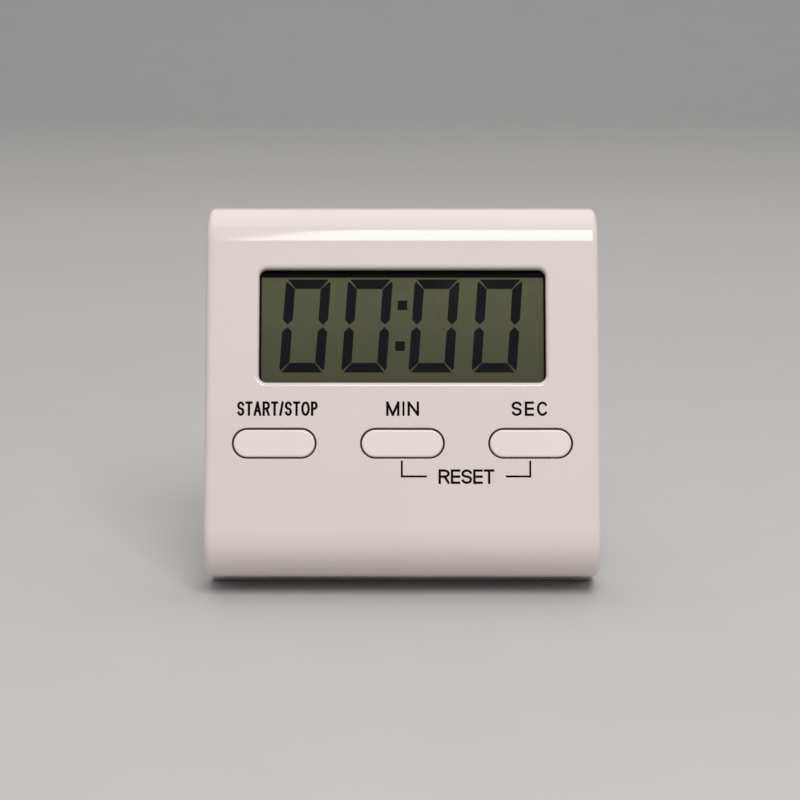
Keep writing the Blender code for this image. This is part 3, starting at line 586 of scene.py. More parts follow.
class KeySettings(bpy.types.PropertyGroup):
    edge: length("Key edge", "Radius of the rounded edge of each key", 0.00032)
    colour: tint("Key colour", "Plastic of the keys", (0.85, 0.765, 0.74))
    # Painted shade: dark brown laid on the sides and flange of each key, deep in its hole
    flange_painted_shade: tint("Flange painted shade", "Shaded plastic at the foot of each key", (0.16, 0.06, 0.045))
    dome_colour: tint("Dome colour", "Rubber of the domes under the keys", (0.42, 0.42, 0.42))


class DisplaySettings(bpy.types.PropertyGroup):
    digit_height: length("Digit height", "Height of a digit", 0.0156)
    digit_width: length("Digit width", "Width of a digit", 0.00745)
    digit_base: length("Digit base", "Height of the digits' lower edge above the underside", 0.0334)
    stroke: length("Stroke", "Width of a segment", 0.0016)
    slant: length("Slant", "How far the top of a digit leans to the right of its foot", 0.0011)
    # Painted shadow: widths of the black strip on the display where the window's top wall and sides shade it
    top_painted_shadow: length("Upper painted shadow", "Black strip painted as the shadow at the top of the window", 0.0012)
    side_painted_shadow: length("Side painted shadow", "Black strip painted as the shadow at the sides of the window", 0.0003)
    field_colour: tint("Field colour", "Unlit display behind the digits", (0.1, 0.106, 0.06))
    digit_colour: tint("Digit colour", "Lit segments", (0.005, 0.005, 0.0065))


class PrintSettings(bpy.types.PropertyGroup):
    cap_height: length("Letter height", "Height of the printed capitals", 0.0024)
    stroke: length("Stroke", "Width of the letters' strokes", 0.0004)
    line_width: length("Line width", "Width of the printed lines", 0.00033)
    ink_depth: length("Ink depth", "How far the ink stands above the face", 0.00001)
    ink_colour: tint("Ink colour", "Printed letters and lines", (0.004, 0.002, 0.002))


class StageSettings(bpy.types.PropertyGroup):
    distance: length("Camera distance", "From the camera to the middle of the face", 0.4)
    elevation: FloatProperty(
        name="Camera elevation",
        description="Angle of the camera above the horizon",
        default=math.radians(12),
        unit="ROTATION",
    )
    focal: FloatProperty(
        name="Focal length",
        description="Lens of the camera in millimetres",
        default=109.6,
        min=10.0,
    )
    key_strength: light("Key light", "Radiance of the panel in front and above", 8.0)
    top_strength: light("Top light", "Radiance of the panel overhead", 1.1)
    sky_strength: light("Fill light", "Strength of the surrounding light", 0.4)
    floor_colour: tint("Floor colour", "Floor and backdrop", (0.53, 0.53, 0.53))


# Pieces


def screw_places():
    return [(x, z) for z in (SCREW_LOW_Z, SCREW_HIGH_Z) for x in (-SCREW_X, SCREW_X)]


def key_place(name):
    """Centre and size of a key's cap, from its CAD node."""
    low, high = case_box(name + "_button")
    flange = 2 * KEY_FLANGE
    return (low.x + high.x) / 2, (low.z + high.z) / 2, high.x - low.x - flange, high.z - low.z - flange


def whole_case(name):
    """The outside of the closed case, before it is split at the seam."""
    return rounded_bar(name, FRONT_LOW, REAR_HIGH, FRONT_RADIUS, BACK_RADIUS, SIDE_RADIUS, 28)


def build_front_case(settings):
    """The front shell: rolled top and bottom, display window, key holes and screw posts."""
    shell = whole_case("front_shell")
    inside = Vector((WALL, WALL, WALL))
    hollow_low, hollow_high = FRONT_LOW + inside, REAR_HIGH - inside
    hollow_high.y = BACK_Y + WALL
    behind = block("behind", (-WIDTH, SEAM_Y - GAP / 2, -WALL), (WIDTH, 2 * BACK_Y, HEIGHT + WALL))
    cut(shell, rounded_bar("hollow", hollow_low, hollow_high, FRONT_RADIUS - WALL, steps=16), behind)
    board_tip = case_box("circuit_board")[0].y - GAP
    places = [(x, z, CASE_POST_RADIUS, SEAM_Y) for x, z in screw_places()]
    places += [(side * BOARD_SCREW_X, BOARD_SCREW_Z, BOARD_POST_RADIUS, board_tip) for side in (-1, 1)]
    posts, pilots = [], []
    for x, z, radius, tip in places:
        root = hollow_low.y + (WALL * 2 / 3 if z == SCREW_HIGH_Z else -WALL / 4)
        posts.append(rod("post", radius, (x, root, z), (x, tip, z)))
        pilots.append(rod("pilot", PILOT_RADIUS, (x, hollow_low.y + WALL, z), (x, tip + WALL, z), steps=20))
    join(shell, *posts)
    window = rectangle(*WINDOW_SIZE, WINDOW_RADIUS, 10, (0, WINDOW_Z))
    floor = FACE_Y + WALL * 2
    mouths = [mouth_cutter("window", window, FACE_Y, floor, settings.window_lip, 8)]
    for name in KEYS:
        x, z, width, height = key_place(name)
        hole = pill(width + 2 * GAP, height + 2 * GAP, (x, z))
        mouths.append(mouth_cutter("key_hole", hole, FACE_Y, floor, settings.key_lip, 5))
    cut(shell, *pilots, *mouths)
    finish = case_finish("case_plastic_gloss", settings.front_colour)
    settle(shell, finish, "case", "case_plastic", "front_case")


def stand_recess():
    """Outline of the U-shaped recess that the folded stand lies in."""
    low = STAND_HINGE.z - STAND_THICKNESS / 2 - RECESS_HEEL
    high = STAND_HINGE.z + STAND_LENGTH + RECESS_MARGIN
    outer = STAND_HALF + RECESS_MARGIN
    inner, bar = outer - STAND_ARM - 2 * RECESS_MARGIN, high - STAND_BAR - 2 * RECESS_MARGIN
    corners = [(-outer, low), (-inner, low), (-inner, bar), (inner, bar), (inner, low), (outer, low)]
    corners += [(outer, high), (-outer, high)]
    return rounded_outline(corners, [RECESS_MARGIN] * len(corners), 4)


def rear_inside(rear):
    """The bay, the pads and the collars that stand out on the cover's inner side."""
    outer = STAND_HALF + RECESS_MARGIN + WALL
    bottom = STAND_HINGE.z - STAND_THICKNESS / 2 - RECESS_HEEL - BAY_WALL
    top = STAND_HINGE.z + STAND_LENGTH + RECESS_MARGIN + BAY_WALL
    inner_back = BACK_Y - WALL / 2
    tub_low = Vector((-BAY_HALF - BAY_WALL, BAY_FRONT_Y - BAY_WALL, BAY_LOW_Z - BAY_WALL))
    tub_high = Vector((BAY_HALF + BAY_WALL, inner_back, BAY_HIGH_Z + BAY_WALL))
    tub = rounded_bar("tub", tub_low, tub_high, TUB_ROUND, steps=12)
    join(rear, tub, block("pad", (-outer, PAD_INNER_Y, bottom), (outer, inner_back, top)))
    reach = STAND_HALF - STAND_ARM - RECESS_MARGIN - BAY_WALL
    bar = STAND_HINGE.z + STAND_LENGTH - STAND_BAR - RECESS_MARGIN - BAY_WALL
    cut(rear, block("room", (-reach, 0, bottom + BAY_WALL - WALL), (reach, BACK_Y - WALL, bar)))
    stands = []
    for x, z in screw_places():
        stands.append(rod("collar", COLLAR_RADIUS, (x, SEAM_Y + GAP, z), (x, inner_back, z)))
    boss_y = inner_back - MAGNET_DEPTH + 2 * GAP - BAY_WALL
    boss_radius = MAGNET_RADIUS + GAP + BAY_WALL
    for x in (-MAGNET_X, MAGNET_X):
        stands.append(rod("boss", boss_radius, (x, boss_y, MAGNET_Z), (x, inner_back, MAGNET_Z), steps=64))
    ring_start, ring_end = (0, BUZZER_RING_Y, BUZZER_Z), (0, inner_back, BUZZER_Z)
    ring = rod("ring", BUZZER_RING_RADIUS, ring_start, ring_end, steps=64)
    cut(ring, rod("bore", BUZZER_BORE_RADIUS, (0, 0, BUZZER_Z), (0, BACK_Y, BUZZER_Z), steps=64))
    join(rear, *stands, ring)


def rear_mouths(lip):
    """Cutters for every opening in the back face."""
    door_low, door_high = case_box("battery_door")
    door_centre = (0, (door_low.z + door_high.z) / 2)
    seat = rectangle(2 * (DOOR_HALF + GAP), door_high.z - door_low.z + 2 * GAP, DOOR_CORNER, 3, door_centre)
    cutters = [
        mouth_cutter("recess", stand_recess(), BACK_Y, RECESS_FLOOR_Y, lip),
        mouth_cutter("door_seat", seat, BACK_Y, BACK_Y - DOOR_THICKNESS - GAP, lip),
    ]
    for x in (-MAGNET_X, MAGNET_X):
        pocket = circle(MAGNET_RADIUS + GAP, (x, MAGNET_Z), 64)
        cutters.append(mouth_cutter("pocket", pocket, BACK_Y, BACK_Y - MAGNET_DEPTH, lip))
    for x, z in screw_places():
        pocket = circle(SCREW_HEAD_RADIUS + GAP, (x, z), 40)
        cutters.append(mouth_cutter("screw_pocket", pocket, BACK_Y, SCREW_HEAD_Y - GAP, lip))
    spots = [(0, 0)] + [(p.x, p.y) for p in circle(SOUND_RING, steps=6)]
    for x, z in spots:
        hole = circle(SOUND_RADIUS, (x, BUZZER_Z + z), 24)
        cutters.append(mouth_cutter("sound_hole", hole, BACK_Y, BACK_Y - 2 * WALL, lip / 2))
    return cutters


def hinge_notches():
    """Cutters for the notches that the door's pins turn in."""
    reach, half = DOOR_PIN_LENGTH + 2 * GAP, DOOR_PIN_RADIUS + GAP
    cutters = []
    for x in (-DOOR_HALF, DOOR_HALF):
        low = (x - reach, DOOR_HINGE_Y - half, DOOR_HINGE_Z - half)
        high = (x + reach, BACK_Y + WALL, DOOR_HINGE_Z + half)
        cutters.append(block("notch", low, high))
    return cutters


def contact_slots():
    """Cutters for the slots through which the battery contacts leave the bay."""
    half, reach = CONTACT_SLOT_HALF, CONTACT_SLOT_REACH
    cutters = []
    for side in (-1, 1):
        x = side * (BAY_HALF - half)
        low = (x - half, BATTERY_Y - reach, BAY_HIGH_Z - BAY_WALL)
        high = (x + half, BATTERY_Y + reach, BAY_HIGH_Z + 2 * BAY_WALL)
        cutters.append(block("contact_slot", low, high))
    return cutters


def stand_sockets():
    """Cutters for the holes that the stand's pins turn in."""
    cutters = []
    for side in (-1, 1):
        x = side * (STAND_HALF + RECESS_MARGIN)
        start = (x - STAND_PIN_LENGTH, STAND_HINGE.y, STAND_HINGE.z)
        end = (x + STAND_PIN_LENGTH, STAND_HINGE.y, STAND_HINGE.z)
        cutters.append(rod("socket", STAND_PIN_RADIUS + PIN_PLAY, start, end, "X"))
    return cutters


def build_rear_cover(settings):
    """The back shell, with the battery bay, the stand's recess, and the magnet and screw pockets."""
    rear = whole_case("rear_shell")
    before = block("before", (-WIDTH, 2 * FACE_Y, -WALL), (WIDTH, SEAM_Y + GAP / 2, HEIGHT + WALL))
    hollow_low = (REAR_LOW.x + WALL, FACE_Y, REAR_LOW.z + WALL)
    hollow_high = (REAR_HIGH.x - WALL, BACK_Y - WALL, REAR_HIGH.z - WALL)
    cut(rear, before, block("hollow", hollow_low, hollow_high))
    rear_inside(rear)
    bay_low = Vector((-BAY_HALF, BAY_FRONT_Y, BAY_LOW_Z))
    bay_high = Vector((BAY_HALF, BACK_Y + WALL, BAY_HIGH_Z))
    bay = rounded_bar("bay", bay_low, bay_high, BAY_ROUND, steps=12)
    holes = [*hinge_notches(), *contact_slots(), *stand_sockets()]
    for x, z in screw_places():
        holes.append(rod("screw_hole", PILOT_RADIUS, (x, 0, z), (x, BACK_Y + WALL, z), steps=20))
    cut(rear, bay, *holes, *rear_mouths(settings.back_lip))
    finish = satin_finish("cover_plastic_satin", settings.back_colour, 0.34, 0.0005, 0.00001)
    settle(rear, finish, "case", "cover_plastic", "rear_cover")


def key_levels(front, edge):
    """Outline growth and depth from a key's face to its flange."""
    flange_front = FACE_Y + WALL + GAP
    flange = [
        (0, flange_front),
        (KEY_FLANGE - KEY_FLANGE_EDGE / 2, flange_front),
        (KEY_FLANGE, flange_front + KEY_FLANGE_EDGE),
        (KEY_FLANGE, flange_front + KEY_FLANGE_THICKNESS),
    ]
    turns = arc(0, math.pi / 2, 6)
    levels = [(edge * (math.sin(turn) - 1), front + edge * (1 - math.cos(turn))) for turn in turns]
    return [*levels, *flange]


def build_keys(settings):
    """Three keys with a flange that keeps each in the case and a stem that presses its dome."""
    finish = case_finish("key_plastic_gloss", settings.colour, 0.1)
    # Painted shade: the key's sides and flange, deeper in the hole than the face, are coloured dark brown
    shallow, deep = [(CASE @ Vector((0, FACE_Y + down, 0))).dot(PRESS) for down in (GAP, 3 * GAP)]
    tree = finish.node_tree
    recolour(finish, ramp(tree, object_depth(tree), shallow, deep), settings.flange_painted_shade)
    for name in KEYS:
        x, z, width, height = key_place(name)
        low, high = case_box(name + "_button")
        key = stacked(name + "_key", pill(width, height, (x, z)), key_levels(low.y, settings.edge))
        join(key, rod("stem", KEY_STEM_RADIUS, (x, FACE_Y + WALL * 1.5, z), (x, high.y, z)))
        settle(key, finish, name + "_key", "key_plastic", name + "_button")


def build_domes(settings):
    """Rubber domes under the keys, built at rest; a real dome flattens as its key goes down."""
    finish = new_finish(
        "dome_rubber_matt", settings.dome_colour, 0.62, grain=0.0006, tint=0.06, relief=0.000008
    )
    for name in KEYS:
        low, high = case_box(name + "_dome")
        tall = high.y - low.y
        centre = Vector(((low.x + high.x) / 2, high.y, (low.z + high.z) / 2))
        profile = [
            (TIP, DOME_SKIN - tall),
            (DOME_HOLLOW_TOP_RADIUS, DOME_SKIN - tall),
            (DOME_HOLLOW_RADIUS, 0),
            (DOME_FOOT_RADIUS, 0),
            (DOME_FOOT_RADIUS, -DOME_SKIN),
            (DOME_SHOULDER_RADIUS, -DOME_SKIN),
            (DOME_TOP_RADIUS, -tall),
            (TIP, -tall),
        ]
        dome = lathe(name + "_rubber_dome", profile, centre)
        settle(dome, finish, "case", "dome_rubber", name + "_dome")
        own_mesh(dome)


def digit_segments(settings):
    """The six lit segments of a nought, as flat outlines from its lower left corner."""
    wide, high, stroke = settings.digit_width, settings.digit_height, settings.stroke
    gap, corner = SEGMENT_GAP, SEGMENT_CORNER
    middle = high / 2 - gap * 2.4
    bar = [(corner + gap, high), (stroke + gap, high - stroke)]
    bar += [(wide - x, z) for x, z in reversed(bar)]
    post = [
        (0, high - 3 * corner),
        (0.00018, high - corner - gap),
        (stroke, high - stroke - gap),
        (stroke, high - middle + stroke / 2),
        (stroke / 2, high - middle),
        (0, high - middle + stroke / 2),
    ]
    shapes = []
    for outline in (bar, post):
        shapes.append(outline)
        shapes.append([(x, high - z) for x, z in reversed(outline)])
    for outline in (shapes[2], shapes[3]):
        shapes.append([(wide - x, z) for x, z in reversed(outline)])
    return shapes


def flat_shapes(name, shapes, front, back):
    """Several thin flat shapes in one object."""
    bm = bmesh.new()
    for shape in shapes:
        faces = [bm.faces.new([bm.verts.new((x, y, z)) for x, z in shape]) for y in (front, back)]
        for index in range(len(shape)):
            first, second = faces[0].verts, faces[1].verts
            bm.faces.new((first[index - 1], first[index], second[index], second[index - 1]))
    return mesh_object(name, bm)


def build_display(settings):
    """The polarising film that closes the window, and the digits that show through it."""
    low, high = case_box("lcd_polariser")
    outline = rectangle(high.x - low.x, high.z - low.z, 0.0003, 3, (0, (low.z + high.z) / 2))
    field = eased_plate("display_field", outline, low.y, high.y, 0.00003, 2)
    smooth = {"wear": 0.06, "relief": 5e-8, "gleam": 0.2}
    film = new_finish("display_film", settings.field_colour, 0.1, grain=0.0004, tint=0.07, **smooth)
    tree = film.node_tree
    # Painted shade: the film is coloured darker towards the bottom of the window
    painted_shade_heights = [(CASE @ Vector((0, low.y, WINDOW_Z + side * WINDOW_SIZE[1] / 2))).z for side in (1, -1)]
    recolour(film, ramp(tree, object_axis(tree, "Z"), *painted_shade_heights), shaded(settings.field_colour, -0.28))
    settle(field, film, "case", "film", "lcd_polariser")
    # Painted shadow: a black strip across the top of the window and thin ones down its sides, none at the bottom
    reach, top = WINDOW_SIZE[0] / 2 + WALL / 3, WINDOW_Z + WINDOW_SIZE[1] / 2
    side, rim = WINDOW_SIZE[0] / 2 - settings.side_painted_shadow, top - settings.top_painted_shadow
    edges = [(-reach, top + WALL / 3), (-reach, low.z), (-side, low.z), (-side, rim)]
    edges += [(-x, z) for x, z in reversed(edges)]
    front = low.y - DIGIT_DEPTH
    painted_shadow_strip = flat_shapes("window_painted_shadow", [edges], front, low.y)
    painted_shadow_black = new_finish("painted_shadow_black", PAINTED_SHADOW_COLOUR, 0.2, tint=0.3, relief=5e-7, gleam=0.04)
    settle(painted_shadow_strip, painted_shadow_black, "case", "film")
    ink = new_finish("display_digit", settings.digit_colour, 0.1, grain=0.002, tint=0.25, **smooth)
    lean = settings.slant / settings.digit_height
    base = settings.digit_base
    for index, left in enumerate(DIGIT_LEFTS):
        left -= settings.slant
        shapes = [[(left + x + z * lean, base + z) for x, z in shape] for shape in digit_segments(settings)]
        settle(flat_shapes(f"digit_{index + 1}", shapes, front, low.y), ink, "case", "film")
    dots = [rectangle(COLON_DOT, COLON_DOT, centre=place) for place in COLON_PLACES]
    settle(flat_shapes("colon", dots, front, low.y), ink, "case", "film")


def bowl(x, z, wide, high, start, end, steps=14):
    """Points on an ellipse, from one angle in degrees to another."""
    turns = arc(math.radians(start), math.radians(end), steps)
    return [(x + wide * math.cos(turn), z + high * math.sin(turn)) for turn in turns]


def letter_strokes(letter):
    """Width of a capital against its height, and the middle lines of its strokes in a unit square."""
    upright, bars = [(0, 0), (0, 1)], {height: [(0, height), (1, height)] for height in (0, 0.5, 1)}
    loop = [(0, 1), *bowl(0.55, 0.75, 0.45, 0.25, 90, -90), (0, 0.5)]
    strokes = {
        "A": (0.86, [[(0, 0), (0.5, 1)], [(1, 0), (0.5, 1)], [(0.2, 0.32), (0.8, 0.32)]]),
        "C": (0.86, [bowl(0.5, 0.5, 0.5, 0.5, 42, 318, 24)]),
        "E": (0.7, [upright, *bars.values()]),
        "I": (0.15, [[(0.5, 0), (0.5, 1)]]),
        "M": (0.92, [upright, [(1, 0), (1, 1)], [(0, 1), (0.5, 0)], [(1, 1), (0.5, 0)]]),
        "N": (0.8, [upright, [(1, 0), (1, 1)], [(0, 1), (1, 0)]]),
        "O": (0.95, [bowl(0.5, 0.5, 0.5, 0.5, 0, 180, 18), bowl(0.5, 0.5, 0.5, 0.5, 180, 360, 18)]),
        "P": (0.74, [upright, loop]),
        "R": (0.82, [upright, loop, [(0.55, 0.5), (1, 0)]]),
        "S": (0.78, [bowl(0.5, 0.75, 0.5, 0.25, 18, 270) + bowl(0.5, 0.25, 0.5, 0.25, 90, -162)[1:]]),
        "T": (0.78, [bars[1], [(0.5, 0), (0.5, 1)]]),
        "/": (0.5, [[(0, 0), (1, 1)]]),
    }
    return strokes[letter]


def ribbon(points, width):
    """The outline of a stroke along a line, which runs on by half its width at both ends."""
    points = [Vector(point) for point in points]
    points[0] += (points[0] - points[1]).normalized() * width / 2
    points[-1] += (points[-1] - points[-2]).normalized() * width / 2
    sides = [[], []]
    for before, here, after in zip([points[0], *points], points, [*points[1:], points[-1]]):
        along = (here - before).normalized() + (after - here).normalized()
        across = Vector((-along.y, along.x)) * width
        across /= 2 if here in (points[0], points[-1]) else along.length_squared
        sides[0].append(here + across)
        sides[1].append(here - across)
    return [*sides[0], *reversed(sides[1])]


def letter_solid(letter, wide, stroke):
    """A capital of unit height and of a set width, as a thin solid that starts at the origin."""
    solids = []
    for line in letter_strokes(letter)[1]:
        middle = [(stroke / 2 + x * (wide - stroke), stroke / 2 + z * (1 - stroke)) for x, z in line]
        outline = ribbon(middle, stroke)
        solids.append(loft("stroke", [[(point.x, y, point.y) for point in outline] for y in (0, 1)]))
    if len(solids) > 1:
        join(solids[0], *solids[1:])
    return combine(solids[0], [block("trim", (0, -1, 0), (wide, 2, 1))], "INTERSECT")


def lettering(name, words, centre, width, settings):
    """Printed capitals of a set height and total width on the face."""
    tall = settings.cap_height
    widths = [letter_strokes(letter)[0] for letter in words]
    gap = SHORT_WORD_GAP if len(words) < 4 else LETTER_GAP
    squeeze = (width / tall - gap * (len(words) - 1)) / sum(widths)
    bm = bmesh.new()
    start = 0.0
    for letter, wide in zip(words, widths):
        solid = letter_solid(letter, wide * squeeze, settings.stroke / tall)
        place = Matrix.Translation((centre[0] - width / 2 + start * tall, FACE_Y, centre[1] - tall / 2))
        solid.data.transform(place @ Matrix.Diagonal((tall, -settings.ink_depth, tall, 1)))
        bm.from_mesh(solid.data)
        bpy.data.objects.remove(solid)
        start += wide * squeeze + gap
    return mesh_object(name, bm)


def build_printing(settings):
    """The words above the keys, and the bracket that joins two of them to the word below."""
    matt = {"tint": 0.15, "wear": 0.1, "relief": 5e-7, "gleam": 0.04}
    ink = new_finish("printed_ink", settings.ink_colour, 0.3, grain=0.0008, **matt)
    words = (
        ("label_start_stop", "START/STOP", (-0.0205, LABEL_Z), 0.0132),
        ("label_minute", "MIN", (0.00003, LABEL_Z), 0.0054),
        ("label_second", "SEC", (0.0209, LABEL_Z), 0.006),
        ("label_reset", "RESET", (0.01047, 0.0159), 0.00915),
    )
    for name, text, centre, width in words:
        settle(lettering(name, text, centre, width, settings), ink, "case", "case_plastic")
    half, low, high, arm = settings.line_width / 2, BRACKET_LOW_Z, BRACKET_HIGH_Z, BRACKET_LEFT_ARM
    left = [(-half, low - half), (arm, low - half), (arm, low + half), (half, low + half)]
    left = [(BRACKET_LEFT_X + x, z) for x, z in [*left, (half, high), (-half, high)]]
    right = [(BRACKET_RIGHT_X - x / arm * BRACKET_RIGHT_ARM, z) for x, z in reversed(left)]
    bracket = flat_shapes("label_bracket", [left, right], FACE_Y - settings.ink_depth, FACE_Y)
    settle(bracket, ink, "case", "case_plastic")


def build_stand(settings):
    """The U-shaped stand, modelled folded and swung out to where it rests."""
    right, top, end = STAND_HALF, STAND_LENGTH, -STAND_THICKNESS / 2
    inner, bar = right - STAND_ARM, top - STAND_BAR
    corners = [(-right, end), (-inner, end), (-inner, bar), (inner, bar), (inner, end), (right, end)]
    corners += [(right, top), (-right, top)]
    radii = [0, 0, *[STAND_INNER_CORNER] * 2, 0, 0, *[STAND_OUTER_CORNER] * 2]
    outline = rounded_outline(corners, radii, 8)
    front, back = end + STAND_OFFSET, -end + STAND_OFFSET
    stand = stacked("stand_frame", outline, [(0, front), (0, back)])
    bm = bmesh.new()
    bm.from_mesh(stand.data)
    heels = []
    for edge in bm.edges:
        first, second = [vertex.co for vertex in edge.verts]
        if near(first.z, end) and near(second.z, end) and not near(first.x, second.x):
            heels.append(edge)
    ease(bm, heels, STAND_THICKNESS * 0.45, 8)
    steep = math.radians(50)
    sharp = [edge for edge in bm.edges if len(edge.link_faces) == 2 and edge.calc_face_angle() > steep]
    ease(bm, sharp, STAND_EDGE, 3)
    bm.to_mesh(stand.data)
    bm.free()
    for side in (-1, 1):
        start, reach = side * (right - STAND_PIN_LENGTH), side * (right + STAND_PIN_LENGTH)
        join(stand, rod("pin", STAND_PIN_RADIUS, (start, 0, 0), (reach, 0, 0), "X"))
    angle = math.radians(JOINTS["stand_fold"]["range_deg"][1])
    swing = Matrix.Translation(STAND_HINGE) @ Matrix.Rotation(-angle, 4, "X")
    stand.data.transform(swing)
    reach, depth = 0.04, 0.02
    ground = block("ground", (-reach, -depth, -depth), (reach, reach, 0))
    ground.matrix_world = Matrix.Identity(4)
    cut(stand, ground)
    finish = satin_finish("stand_plastic", settings.back_colour, 0.3, 0.0006, 0.000005)
    settle(stand, finish, "stand", "cover_plastic", "stand")


def build_battery_door(settings):
    """The battery door with its hinge pins, finger grooves that shorten to an arrow."""
    low, high = case_box("battery_door")
    outline = rectangle(2 * DOOR_HALF, high.z - low.z, DOOR_CORNER, 3, (0, (low.z + high.z) / 2))
    door = eased_plate("battery_hatch", outline, BACK_Y - DOOR_THICKNESS, BACK_Y, DOOR_EDGE, 3)
    for x in (-DOOR_HALF, DOOR_HALF):
        start = (x - DOOR_PIN_LENGTH, DOOR_HINGE_Y, DOOR_HINGE_Z)
        end = (x + DOOR_PIN_LENGTH, DOOR_HINGE_Y, DOOR_HINGE_Z)
        join(door, rod("pin", DOOR_PIN_RADIUS, start, end, "X", 20))
    grooves = []
    for step in range(GROOVE_COUNT):
        z = high.z - GROOVE_BELOW_TOP - step * GROOVE_PITCH
        groove = pill(GROOVE_LENGTH - step * GROOVE_STEP, GROOVE_WIDTH, (0, z), 6)
        grooves.append(mouth_cutter("groove", groove, BACK_Y, BACK_Y - GROOVE_DEPTH, GROOVE_LIP, 3))
    cut(door, *grooves)
    finish = satin_finish("door_plastic", settings.back_colour, 0.36, 0.0005, 0.000006)
    settle(door, finish, "battery_door", "cover_plastic", "battery_door")


def build_battery():
    """A cell with a shrunk jacket, a steel can at both ends and a raised contact."""
    low, high = case_box("battery")
    y, z = (low.y + high.y) / 2, (low.z + high.z) / 2
    radius = (high.z - low.z) / 2
    body_end = high.x - NUB_HEIGHT
    shoulder = []
    for turn in arc(0, math.pi / 2, 5):
        curl = JACKET_CURL * (1 - math.sin(turn))
        shoulder.append((radius * (1 - curl), JACKET_SHOULDER * (1 - math.cos(turn))))
    jacket = [(r, low.x + JACKET_INSET + along) for r, along in shoulder]
    jacket += [(r, body_end - JACKET_INSET - along) for r, along in reversed(shoulder)]
    sleeve = lathe("battery_sleeve", jacket, (0, y, z), "X", 64)
    sleeve_finish = new_finish("battery_jacket_gloss", (0.035, 0.045, 0.07), 0.3, grain=0.003, tint=0.08)
    tree = sleeve_finish.node_tree
    band = high.x - JACKET_BAND
    pattern = ramp(tree, object_axis(tree, "X"), band, band + JACKET_BAND_BLEND)
    recolour(sleeve_finish, pattern, (0.5, 0.5, 0.48))
    settle(sleeve, sleeve_finish, "case", "battery_jacket", "battery")
    ends = [(TIP, low.x), (CAN_FOOT_RADIUS, low.x), (CAN_RADIUS, low.x + CAN_EDGE), (CAN_RADIUS, body_end)]
    ends += [(NUB_RADIUS, body_end), (NUB_RADIUS, high.x - CAN_EDGE), (NUB_RADIUS - CAN_EDGE, high.x)]
    ends.append((TIP, high.x))
    can = lathe("battery_can", ends, (0, y, z), "X", 48)
    steel = new_finish("battery_steel", (0.55, 0.55, 0.56), 0.28, 1.0, grain=0.001, tint=0.06)
    settle(can, steel, "case", "steel")


def build_magnets():
    """Two plated disc magnets in the back."""
    finish = new_finish("nickel_plate", (0.55, 0.54, 0.52), 0.22, 1.0, grain=0.0015, tint=0.08, wear=0.12)
    for name in ("magnet_left", "magnet_right"):
        low, high = case_box(name)
        centre = ((low.x + high.x) / 2, 0, (low.z + high.z) / 2)
        radius = (high.z - low.z) / 2
        profile = [(TIP, low.y), (radius - MAGNET_EDGE, low.y), (radius, low.y + MAGNET_EDGE)]
        profile += [*rounded_rim(radius, high.y, MAGNET_EDGE, 4), (TIP, high.y)]
        disc = lathe(name + "_disc", profile, centre, steps=72)
        settle(disc, finish, "case", "magnet_coat", name)


def build_screws():
    """Four pan-head screws with a cross recess."""
    finish = new_finish("screw_steel", (0.42, 0.42, 0.43), 0.32, 1.0, grain=0.0008, tint=0.1, wear=0.12)
    for number in range(1, 5):
        node = f"case_screw_{number}"
        low, high = case_box(node)
        x, z = (low.x + high.x) / 2, (low.z + high.z) / 2
        top, radius = high.y, (high.z - low.z) / 2
        under = top - SCREW_HEAD_HEIGHT
        profile = [
            (TIP, low.y),
            (SCREW_POINT_RADIUS, low.y),
            (SCREW_SHANK_RADIUS, low.y + SCREW_POINT_LENGTH),
            (SCREW_SHANK_RADIUS, under),
            (radius, under),
            *rounded_rim(radius, top, SCREW_HEAD_ROUND, 6),
            (TIP, top),
        ]
        screw = lathe(f"cover_screw_{number}", profile, (x, 0, z), steps=40)
        levels = ((0, top + CROSS_ABOVE), (-CROSS_TAPER, top - CROSS_DEPTH))
        arms = []
        for quarter in (0, math.pi / 2):
            spin = Matrix.Rotation(0.4 * number + quarter, 2)
            outline = [spin @ point + Vector((x, z)) for point in rectangle(CROSS_LENGTH, CROSS_WIDTH)]
            arms.append(stacked("arm", outline, levels))
        cut(screw, *arms)
        settle(screw, finish, "case", "steel", node)


# name of the CAD node's slot: colour, roughness, metallic, grain, relief
INNER = {
    "glass": ((0.33, 0.38, 0.33), 0.12, 0.0, 0.002, 0.000001),
    "reflector": ((0.45, 0.45, 0.4), 0.4, 0.4, 0.0008, 0.000004),
    "holder_plastic": ((0.62, 0.62, 0.58), 0.45, 0.0, 0.0008, 0.000005),
    "contact_rubber": ((0.2, 0.21, 0.24), 0.7, 0.0, 0.0004, 0.000008),
    "board": ((0.02, 0.12, 0.05), 0.4, 0.0, 0.0006, 0.000006),
    "epoxy": ((0.012, 0.012, 0.012), 0.3, 0.0, 0.0015, 0.00001),
    "steel": ((0.5, 0.5, 0.51), 0.3, 1.0, 0.0008, 0.000004),
    "ceramic": ((0.5, 0.4, 0.27), 0.55, 0.0, 0.0005, 0.000006),
    "brass": ((0.72, 0.52, 0.22), 0.3, 1.0, 0.001, 0.000004),
    "red_wire": ((0.5, 0.02, 0.02), 0.45, 0.0, 0.0008, 0.000004),
    "black_wire": ((0.014, 0.014, 0.014), 0.45, 0.0, 0.0008, 0.000004),
}


def finish_inner_parts():
    """Finishes for the CAD nodes that stay as they are."""
    slots = {part["node"]: part["material_slot"] for part in frame["record"]["subparts"]}
    finishes = {}
    for name, node in frame["nodes"].items():
        slot = slots[name]
        if node.hide_render or slot not in INNER:
            continue
        if slot not in finishes:
            colour, roughness, metallic, grain, relief = INNER[slot]
            finishes[slot] = new_finish("inner_" + slot, colour, roughness, metallic, grain, relief=relief)
        node.data.materials.clear()
        node.data.materials.append(finishes[slot])


# Stage


